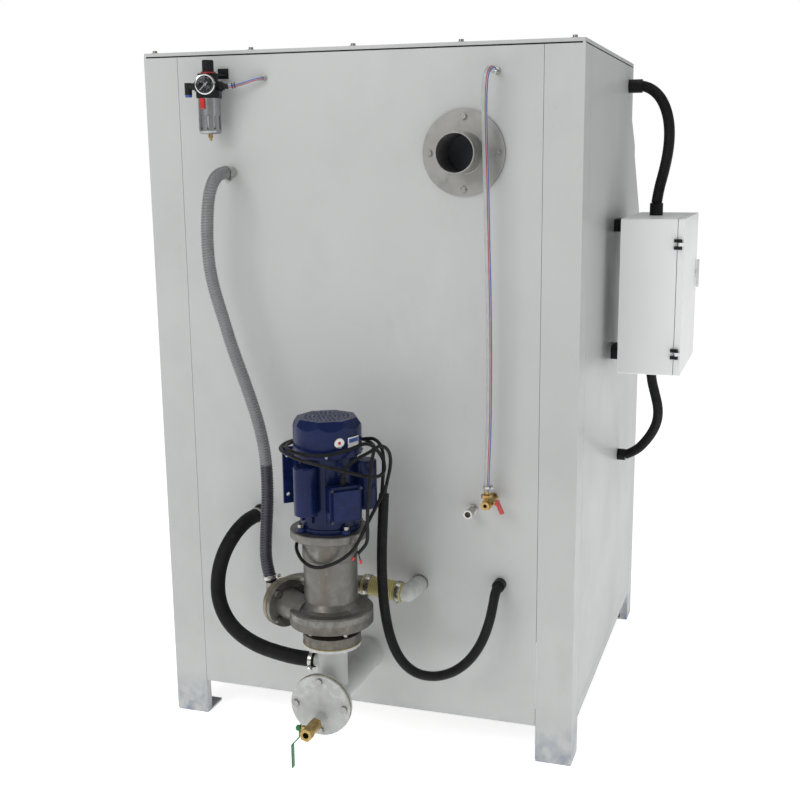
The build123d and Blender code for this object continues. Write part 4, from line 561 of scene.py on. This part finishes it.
def ribbed(radius, pitch, depth, helical):
    def radius_at(distance, angle):
        phase = distance / pitch - (angle / (2 * math.pi) if helical else 0.0)
        wave = 0.5 + 0.5 * math.cos(2 * math.pi * phase)
        return radius - depth * (1 - wave**0.7)
    return radius_at


def wrapped(radius):
    def radius_at(distance, angle):
        phase = (distance / WRAP_PITCH - angle / (2 * math.pi)) % 1.0
        return radius - 0.00035 * max(0.0, 1 - phase * 14)
    return radius_at


def metres(route):
    return [Vector(p) * MM for p in route]


def round_pump(angle, radius, z):
    a = math.radians(angle)
    return (15 + radius * math.sin(a), -844 - radius * math.cos(a), z)


GREY_ROUTE = metres([
    (-350, -612, 1591), (-351, -646, 1592), (-354, -684, 1576), (-360, -705, 1535), (-366, -708, 1478),
    (-370, -706, 1414), (-367, -706, 1346), (-354, -705, 1280), (-334, -706, 1218), (-307, -708, 1129),
    (-268, -712, 1030), (-230, -722, 930), (-207, -737, 842), (-199, -752, 745), (-199, -768, 660),
    (-193, -790, 598), (-180, -806, 560), (-167.2, -812.8, 532),
])
BLACK_ROUTE = metres([
    (-299, -612, 645), (-300, -650, 648), (-308, -688, 640), (-325, -720, 612), (-345, -743, 565),
    (-355, -760, 506), (-346, -778, 448), (-314, -797, 401), (-264, -815, 369), (-201, -829, 350),
    (-135, -838, 342), (-80, -843, 339), (-34, -844, 340),
])
CLEAR_ROUTE = metres([
    (382, -622, 1833), (380, -642, 1838), (374, -657, 1829), (370, -660, 1801), (368, -656, 1745),
    (369, -653, 1665), (373, -652, 1560), (376, -652, 1430), (380, -650, 1276), (382, -648, 1110),
    (381, -647, 960), (378, -646, 870), (375, -643, 815), (374, -640, 777),
])
MOTOR_CONDUIT_ROUTE = metres([
    (399, -612, 504), (399, -642, 500), (398, -661, 470), (390, -674, 420), (370, -686, 362),
    (335, -698, 312), (290, -710, 282), (240, -721, 273), (195, -733, 288), (163, -746, 329),
    (143, -757, 388), (133, -766, 460), (130, -775, 540), (133, -784, 625), (140, -793, 712),
    (147, -799, 793),
])
UPPER_ROUTE = metres([
    (640, 170, 1835), (660, 167, 1831), (692, 150, 1807), (716, 118, 1771), (731, 84, 1730),
    (738, 55, 1686), (737, 33, 1636), (729, 13, 1582), (718, -3, 1532), (714, -8, 1495),
])
LOWER_ROUTE = metres([
    (714, -8, 1003), (716, -6, 975), (727, 6, 929), (736, 28, 880), (731, 58, 832), (711, 92, 786),
    (683, 122, 744), (655, 141, 714), (625, 145, 700),
])
MOTOR_CABLE_ROUTE = metres(round_pump(*p) for p in (
    (42, 104, 862), (43, 106, 878), (50, 110, 896), (63, 114, 909), (78, 118, 915), (95, 120, 917),
    (115, 118, 918), (140, 113, 920), (165, 113, 921), (190, 113, 922), (215, 112, 921), (240, 116, 920),
    (264, 119, 919), (288, 120, 918), (310, 120, 919), (332, 121, 918), (352, 125, 911), (374, 130, 904),
    (392, 132, 893), (408, 134, 879), (424, 138, 866), (441, 144, 856), (454, 148, 862), (460, 143, 885),
    (457, 132, 910), (449, 119, 932), (438, 107, 939), (425, 102, 934), (403, 102, 927), (378, 102, 921),
    (355, 104, 920), (334, 106, 922), (310, 107, 923), (282, 106, 922), (254, 104, 920), (226, 102, 918),
    (198, 101, 917), (170, 101, 917), (146, 103, 922), (129, 107, 930), (117, 117, 934), (109, 130, 927),
    (107, 139, 905), (107, 140, 868), (108, 137, 829), (108.8, 134.1, 797),
))
SENSOR_ROUTE = metres(round_pump(*p) for p in (
    (106.9, 142.4, 797), (105, 145, 813), (98, 147, 823), (88, 149, 815), (79, 147, 795), (71, 138, 762),
    (66, 125, 728), (61, 118, 702), (54, 111, 677), (45, 99, 658), (34, 91, 645), (19, 87, 635),
    (3, 86, 628), (-13, 87, 629), (-28, 88, 637), (-44, 88, 650), (-63, 87, 661), (-85, 86, 667),
    (-108, 86, 670), (-128, 86, 670), (-141, 86, 670),
))
SPARE_ROUTE = metres(round_pump(*p) for p in (
    (110.8, 142.4, 797), (111, 147, 821), (107, 155, 856), (101, 160, 890), (92, 160, 920),
    (82, 153, 938),
    (73, 147, 934), (67, 151, 906), (64, 153, 866), (63, 151, 822), (62, 147, 782), (63, 143, 744),
    (66, 136, 713), (70, 124, 690), (71, 109, 672), (67, 100, 660),
))


def tube_cord(name, route, look, radius_at, node, step,
              sides=24):
    """A declared hose or conduit, swept as a mesh tube along its route."""
    line = centreline(route)
    fine, _ = evenly(line, step)
    item = piece(name, swept(fine, radius_at, sides), look)
    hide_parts(node)
    path, _ = evenly(line, 0.004)
    return item


def cable_cord(name, route, diameter, look, node):
    """A declared round cable, drawn as one smooth curve."""
    curve = bpy.data.curves.new(name, "CURVE")
    curve.dimensions = "3D"
    curve.resolution_u = 8
    curve.bevel_depth = diameter / 2
    curve.bevel_resolution = 4
    curve.use_fill_caps = True
    spline = curve.splines.new("NURBS")
    spline.points.add(len(route) - 1)
    for point, place in zip(spline.points, route):
        point.co = (*place, 1.0)
    spline.order_u = 3
    spline.use_endpoint_u = True
    curve.materials.append(M[look])
    item = bpy.data.objects.new(name, curve)
    scene.collection.objects.link(item)
    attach(item, "cabinet")
    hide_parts(node)
    return item


def stripe(name, route, radius, angle, width, look, twist=0.0):
    """A thin coloured line printed along a tube."""
    points, _ = evenly(centreline(route), 0.006)
    bm = bmesh.new()
    rows = []
    for i, (point, (_, side, up)) in enumerate(zip(points, frames_along(points))):
        row = []
        for lift in (0.0, 0.00035):
            for offset in (-width / 2, width / 2):
                a = angle + twist * i + offset / radius
                spoke = side * math.cos(a) + up * math.sin(a)
                row.append(bm.verts.new(point + spoke * (radius + lift)))
        rows.append(row)
    for a, b in zip(rows, rows[1:]):
        for i, j in ((0, 1), (1, 3), (3, 2), (2, 0)):
            bm.faces.new((a[i], a[j], b[j], b[i]))
    for row in (rows[0], rows[-1]):
        bm.faces.new((row[0], row[1], row[3], row[2]))
    bmesh.ops.recalc_face_normals(bm, faces=bm.faces)
    return piece(name, bm, look)


tube_cord("grey_hose_spiral", GREY_ROUTE, "grey_hose", ribbed(0.017, 0.0072, 0.0021, True),
          "grey_spiral_hose", 0.0012)
tube_cord("black_hose_wrapped", BLACK_ROUTE, "rubber", wrapped(0.020),
          "black_rubber_hose", 0.0022, 32)
stripes = [
    stripe("clear_hose_stripe_red", CLEAR_ROUTE, 0.0080, 3.15, 0.0022, "stripe_red"),
    stripe("clear_hose_stripe_blue", CLEAR_ROUTE, 0.0080, 2.6, 0.0026, "stripe_blue"),
]
tube_cord("clear_hose_tube", CLEAR_ROUTE, "clear", ribbed(0.008, 0.0060, 0.00012, True),
          "clear_level_hose", 0.002, 24)
tube_cord("motor_conduit_ribbed", MOTOR_CONDUIT_ROUTE, "conduit",
          ribbed(0.0135, 0.0042, 0.0012, False),
          "motor_conduit", 0.00084, 20)
tube_cord("upper_conduit_ribbed", UPPER_ROUTE, "conduit",
          ribbed(0.016, 0.0046, 0.0014, False),
          "upper_conduit", 0.00092, 20)
tube_cord("lower_conduit_ribbed", LOWER_ROUTE, "conduit",
          ribbed(0.015, 0.0046, 0.0014, False),
          "lower_conduit", 0.00092, 20)
cable_cord("motor_cable_run", MOTOR_CABLE_ROUTE, 0.009, "cable", "motor_cable")
cable_cord("sensor_cable_run", SENSOR_ROUTE, 0.009, "cable", "sensor_cable")

tail = SPARE_ROUTE[-1]
for index, (dx, dz) in enumerate(((-0.012, -0.012), (0.004, -0.017))):
    start, stop = tail + Vector((dx * 0.2, 0, 0.004)), tail + Vector((dx, 0.002, dz))
    lead = swept([start, start.lerp(stop, 0.5) + Vector((0, -0.002, 0)), stop], lambda s, a: 0.0016, 10)
    piece(f"spare_lead_{index}", lead, "cable")
    sleeve = turned([
        (0.0, 0), (0.0026, 0), (0.0030, 0.001), (0.0030, 0.010), (0.0024, 0.011), (0.0, 0.011),
    ], 16)
    piece(f"spare_crimp_{index}", sleeve, "red",
                        place=looking(stop, stop - start))
cable_cord("spare_cable_run", SPARE_ROUTE, 0.009, "cable", "spare_cable")

yellow_points, _ = evenly(metres([(45, -690, 504), (158, -690, 491)]), 0.0006)
item = piece("yellow_hose_ribbed", swept(yellow_points, ribbed(0.027, 0.0056, 0.0020, True), 32),
             "yellow_hose")
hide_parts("yellow_hose")
AIR_BARB = AIR + Vector((math.cos(AIR_TURN), math.sin(AIR_TURN), 0)) * 0.052 + Vector((0, 0, 1.812))
air_route = [AIR_BARB + Vector(p) for p in (
    (0, 0, 0), (0.014, 0.004, 0.002), (0.036, 0.012, 0.008), (0.060, 0.020, 0.016),
)]
air_route += metres([(-254, -606, 1832), (-247, -597, 1833)])
air_points, _ = evenly(centreline(air_route), 0.002)
item = piece("air_hose_tube", swept(air_points, lambda s, a: 0.0065, 24), "clear")
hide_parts("air_hose")
for name, angle in (("red", 2.95), ("blue", 2.4)):
    stripe(f"air_hose_stripe_{name}", air_route, 0.0065, angle, 0.0022, f"stripe_{name}")


# ---------------------------------------------------------------- clamps, gaskets, beads and badges
def hose_clamp(name, centre, axis, radius, turn=0.0, width=0.010):
    """A worm-drive band with its screw housing."""
    band = turned([
        (radius - 0.0004, -width / 2), (radius + 0.0011, -width / 2), (radius + 0.0014, -width * 0.32),
        (radius + 0.0011, 0), (radius + 0.0014, width * 0.32), (radius + 0.0011, width / 2),
        (radius - 0.0004, width / 2),
    ], 56)
    housing = slab((0.016, 0.008, width * 0.95), 0.0012)
    screw = turned([(0, -0.013), (0.0034, -0.013), (0.0038, -0.012), (0.0038, -0.008), (0.0022, -0.0075),
                    (0.0022, 0.010), (0, 0.0105)], 12)
    lift = Matrix.Translation((0, radius + 0.0046, 0))
    whole = joined([
        (band, Matrix.Identity(4)), (housing, lift),
        (screw, lift @ Matrix.Rotation(math.pi / 2, 4, "Y")),
    ])
    return piece(name, whole, "steel", place=looking(centre, axis, turn))


hose_clamp("clamp_grey_top", (-0.3503, -0.622, 1.5912), (0, 1, 0), 0.0172, 2.6)
hose_clamp("clamp_grey_foot", (-0.1716, -0.811, 0.5415), (-0.28, 0.14, 0.95), 0.0172, 0.6)
hose_clamp("clamp_black_top", (-0.2993, -0.624, 0.6460), (0, 1, 0.05), 0.0202, 2.2)
hose_clamp("clamp_black_foot", (-0.0440, -0.844, 0.3400), (1, 0, 0), 0.0202, 2.4)
hose_clamp("clamp_yellow_near", (0.0600, -0.690, 0.5023), (1, 0, -0.115), 0.0275, 2.9, 0.012)
hose_clamp("clamp_yellow_far", (0.1460, -0.690, 0.4924), (1, 0, -0.115), 0.0275, 3.4, 0.012)
for index, reach in enumerate((0.010, 0.016)):
    clip = turned([(0.0064, -0.0014), (0.0078, -0.0010), (0.0078, 0.0010), (0.0064, 0.0014)], 32)
    spot = AIR_BARB + Vector((reach, reach * 0.28, reach * 0.16))
    piece(f"clamp_air_{index}", clip, "gland", place=looking(spot, (1, 0.28, 0.16)))
hose_clamp("clamp_clear_foot", (0.3741, -0.6405, 0.7860), (0, 0, 1), 0.0082, 2.0, 0.007)


def bead(name, centre, axis, radius, thick, look, sides=72, body="cabinet"):
    """A weld bead with its ripples round a joint."""
    angles = [i * math.pi / 4 for i in range(8)]
    bm = turned([(radius + thick * math.cos(a), thick * math.sin(a)) for a in angles], sides)
    for vertex in bm.verts:
        angle = math.atan2(vertex.co.y, vertex.co.x)
        ripple = 1 + 0.10 * math.sin(angle * sides / 3.3) * thick / radius
        vertex.co.x *= ripple
        vertex.co.y *= ripple
    return piece(name, bm, look, body, place=looking(centre, axis))


bead("bead_vent", (0.298, -0.5955, 1.637), (0, 1, 0), 0.0512, 0.0022, "vent")
# painted shade: a dark disc set inside the vent mouth stands in for the shade inside the pipe
vent_shade_disc = turned([(0, 0), (0.0462, 0), (0.0462, 0.0015), (0, 0.0015)], 56)
piece("vent_painted_shade_disc", vent_shade_disc, "iron", place=looking((0.298, -0.572, 1.637), (0, 1, 0)))
bead("bead_suction_top", (0.015, -0.844, 0.392), (0, 0, 1), 0.0392, 0.0030, "white_pipe")
bead("bead_blind", (0.015, -0.9125, 0.260), (0, 1, 0), 0.0448, 0.0030, "white_pipe")
bead("bead_wall", (0.015, -0.5895, 0.260), (0, 1, 0), 0.0450, 0.0026, "white_pipe")
bead("bead_grey_stub", (-0.350, -0.5885, 1.591), (0, 1, 0), 0.0155, 0.0018, "white_pipe")
bead("bead_lantern", (0.015, -0.844, 0.6875), (0, 0, 1), 0.0712, 0.0016, "casting")

CUFF_R = 0.0205
cuff = turned([
    (CUFF_R * 0.62, 0), (CUFF_R * 1.15, 0), (CUFF_R * 1.18, 0.003), (CUFF_R * 1.02, 0.008),
    (CUFF_R * 0.62, 0.009),
], 40)
piece("wall_cuff_0", cuff, "gland", place=looking((-0.299, WALL_Y, 0.645), (0, -1, 0)))

strip = slab((1.186, 0.0016, 0.0035), 0.0004, 1)
piece("top_gasket_front", strip, "rubber",
      place=Matrix.Translation((0, WALL_Y, 1.8950)))
for index, side_x in enumerate((-0.5992, 0.5992)):
    strip = slab((0.0016, 0.83, 0.0035), 0.0004, 1)
    piece(f"top_gasket_side_{index}", strip, "rubber",
          place=Matrix.Translation((side_x, -0.165, 1.8950)))


def on_cowl(angle, z, radius=0.0862):
    a = math.radians(angle)
    outward = Vector((math.sin(a), -math.cos(a), 0))
    return PUMP + outward * radius + Vector((0, 0, z)), outward


centre, outward = on_cowl(42, 0.946)
badge = turned([
    (0, 0), (0.0126, 0), (0.0130, 0.0006), (0.0120, 0.0012), (0.0100, 0.0010), (0, 0.0013),
], 40)
piece("cowl_badge", badge, "plate", place=looking(centre, outward))
dot = turned([(0, 0), (0.0040, 0), (0.0042, 0.0004), (0.0036, 0.0008), (0, 0.0009)], 24)
piece("cowl_badge_dot", dot, "red", place=looking(centre + outward * 0.0011, outward))

def curved_label(name, angles, heights, radius, look):
    """A thin blank plate that follows the motor's round wall."""
    bm = bmesh.new()
    rows = []
    steps = 10
    for i in range(steps + 1):
        a = math.radians(angles[0] + (angles[1] - angles[0]) * i / steps)
        outward = Vector((math.sin(a), -math.cos(a), 0))
        rows.append([bm.verts.new(PUMP + outward * r + Vector((0, 0, z)))
                     for r, z in ((radius, heights[0]), (radius + 0.0006, heights[0]),
                                  (radius + 0.0006, heights[1]), (radius, heights[1]))])
    for a, b in zip(rows, rows[1:]):
        for k in range(4):
            bm.faces.new((a[k], a[(k + 1) % 4], b[(k + 1) % 4], b[k]))
    bm.faces.new(rows[0])
    bm.faces.new(rows[-1][::-1])
    bmesh.ops.recalc_face_normals(bm, faces=bm.faces)
    return piece(name, bm, look, smooth=False)


curved_label("cowl_sticker_white", (58, 84), (0.928, 0.956), 0.0861, "white")
curved_label("cowl_sticker_blue", (60, 82), (0.943, 0.953), 0.0865, "stripe_blue")

for angle, z in ((20, 0.912), (110, 0.912), (200, 0.912), (290, 0.912)):
    centre, outward = on_cowl(angle, z, 0.0858)
    screw = turned([
        (0, 0), (0.0042, 0), (0.0044, 0.0006), (0.0036, 0.0024), (0.0016, 0.0029), (0, 0.0030),
    ], 20)
    piece(f"cowl_screw_{angle}", screw, "zinc", place=looking(centre, outward))

motor_out = Vector((math.sin(MOTOR_TURN), -math.cos(MOTOR_TURN), 0))
motor_side = Vector((math.cos(MOTOR_TURN), math.sin(MOTOR_TURN), 0))
for index, (dx, dz) in enumerate(((-0.0375, 0.840), (0.0375, 0.840), (-0.0375, 0.760), (0.0375, 0.760))):
    screw = turned([(0, 0), (0.0036, 0), (0.0038, 0.0006), (0.0030, 0.0020), (0, 0.0026)], 18)
    spot = PUMP + motor_out * 0.1317 + motor_side * dx + Vector((0, 0, dz))
    piece(f"terminal_screw_{index}", screw, "iron", place=looking(spot, motor_out))

ELBOW_R = 0.0232
elbow_corner = Vector((0.172, -0.690, 0.491))
wall_run = turned([(0, -0.0002), (ELBOW_R, -0.0002), (ELBOW_R, 0.0900), (0, 0.0902)], 40)
hose_run = turned([(0, 0), (ELBOW_R, 0), (ELBOW_R, 0.0138), (0, 0.0140)], 40)
ball_angles = [math.pi * i / 16 for i in range(17)]
ball = turned([(ELBOW_R * math.sin(a), -ELBOW_R * math.cos(a)) for a in ball_angles], 40)
elbow = joined([
    (wall_run, looking(elbow_corner, (0, 0.088, -0.008))),
    (hose_run, looking(elbow_corner, (-1, 0, 0))),
    (ball, Matrix.Translation(elbow_corner)),
])
piece("elbow_paint", elbow, "white_pipe")
ring = turned([(0.0188, 0), (0.0196, 0.0004), (0.0196, 0.0050), (0.0188, 0.0054)], 48)
piece("regulator_red_ring", ring, "red",
      place=Matrix.Translation(AIR + Vector((0, 0, 1.8425))))

air_out = Vector((math.sin(AIR_TURN), -math.cos(AIR_TURN), 0))
air_side = Vector((math.cos(AIR_TURN), math.sin(AIR_TURN), 0))
elbow_ring = turned([(0.0082, 0), (0.0089, 0.0005), (0.0089, 0.0055), (0.0082, 0.0060)], 32)
piece("elbow_blue_ring", elbow_ring, "stripe_blue",
      place=Matrix.Translation(AIR - air_side * 0.054 + Vector((0, 0, 1.7852))))
gauge_face = AIR + air_out * 0.046 + Vector((0, 0, 1.815))
gauge_turn = Matrix((air_side, Vector((0, 0, 1)), air_out)).transposed().to_4x4()
to_gauge = Matrix.Translation(gauge_face) @ gauge_turn
dial = turned([(0, -0.0050), (0.0222, -0.0050), (0.0222, -0.0043), (0, -0.0042)], 56)
piece("gauge_dial", dial, "body_black", place=to_gauge)
ticks = []
for index in range(21):
    angle = math.radians(225 - 13.5 * index)
    major = index % 4 == 0
    inner, outer = (0.0166 if major else 0.0180), 0.0192
    mark = slab(((outer - inner), 0.0008 if major else 0.0003, 0.0003), 0.0001, 1)
    middle = (inner + outer) / 2
    spot = Matrix.Translation((middle * math.cos(angle), middle * math.sin(angle), -0.0041))
    ticks.append((mark, spot @ Matrix.Rotation(angle, 4, "Z")))
piece("gauge_ticks", joined(ticks), "white", place=to_gauge, smooth=False)
lens = turned([(0, -0.0004), (0.0218, -0.0010), (0.0224, -0.0006), (0.0218, -0.0002), (0, 0.0004)], 56)
piece("gauge_lens", lens, "lens", place=to_gauge)
bezel = turned([
    (0.0222, -0.0012), (0.0222, 0.0002), (0.0236, 0.0009), (0.0254, 0.0002), (0.0262, -0.0024),
    (0.0262, -0.0060), (0.0250, -0.0060),
], 64)
piece("gauge_bezel", bezel, "chrome", place=to_gauge)

inner = turned([
    (0, 1.6995), (0.016, 1.6995), (0.0235, 1.704), (0.0252, 1.712), (0.0252, 1.779), (0.0238, 1.779),
    (0.0238, 1.712), (0, 1.7015),
], 48)
piece("bowl_inner", inner, "bowl", "filter_bowl", place=Matrix.Translation(AIR))
element = turned([(0, 1.722), (0.0115, 1.722), (0.0135, 1.725), (0.0135, 1.764), (0, 1.766)], 40)
piece("bowl_element", element, "white", "filter_bowl", place=Matrix.Translation(AIR))
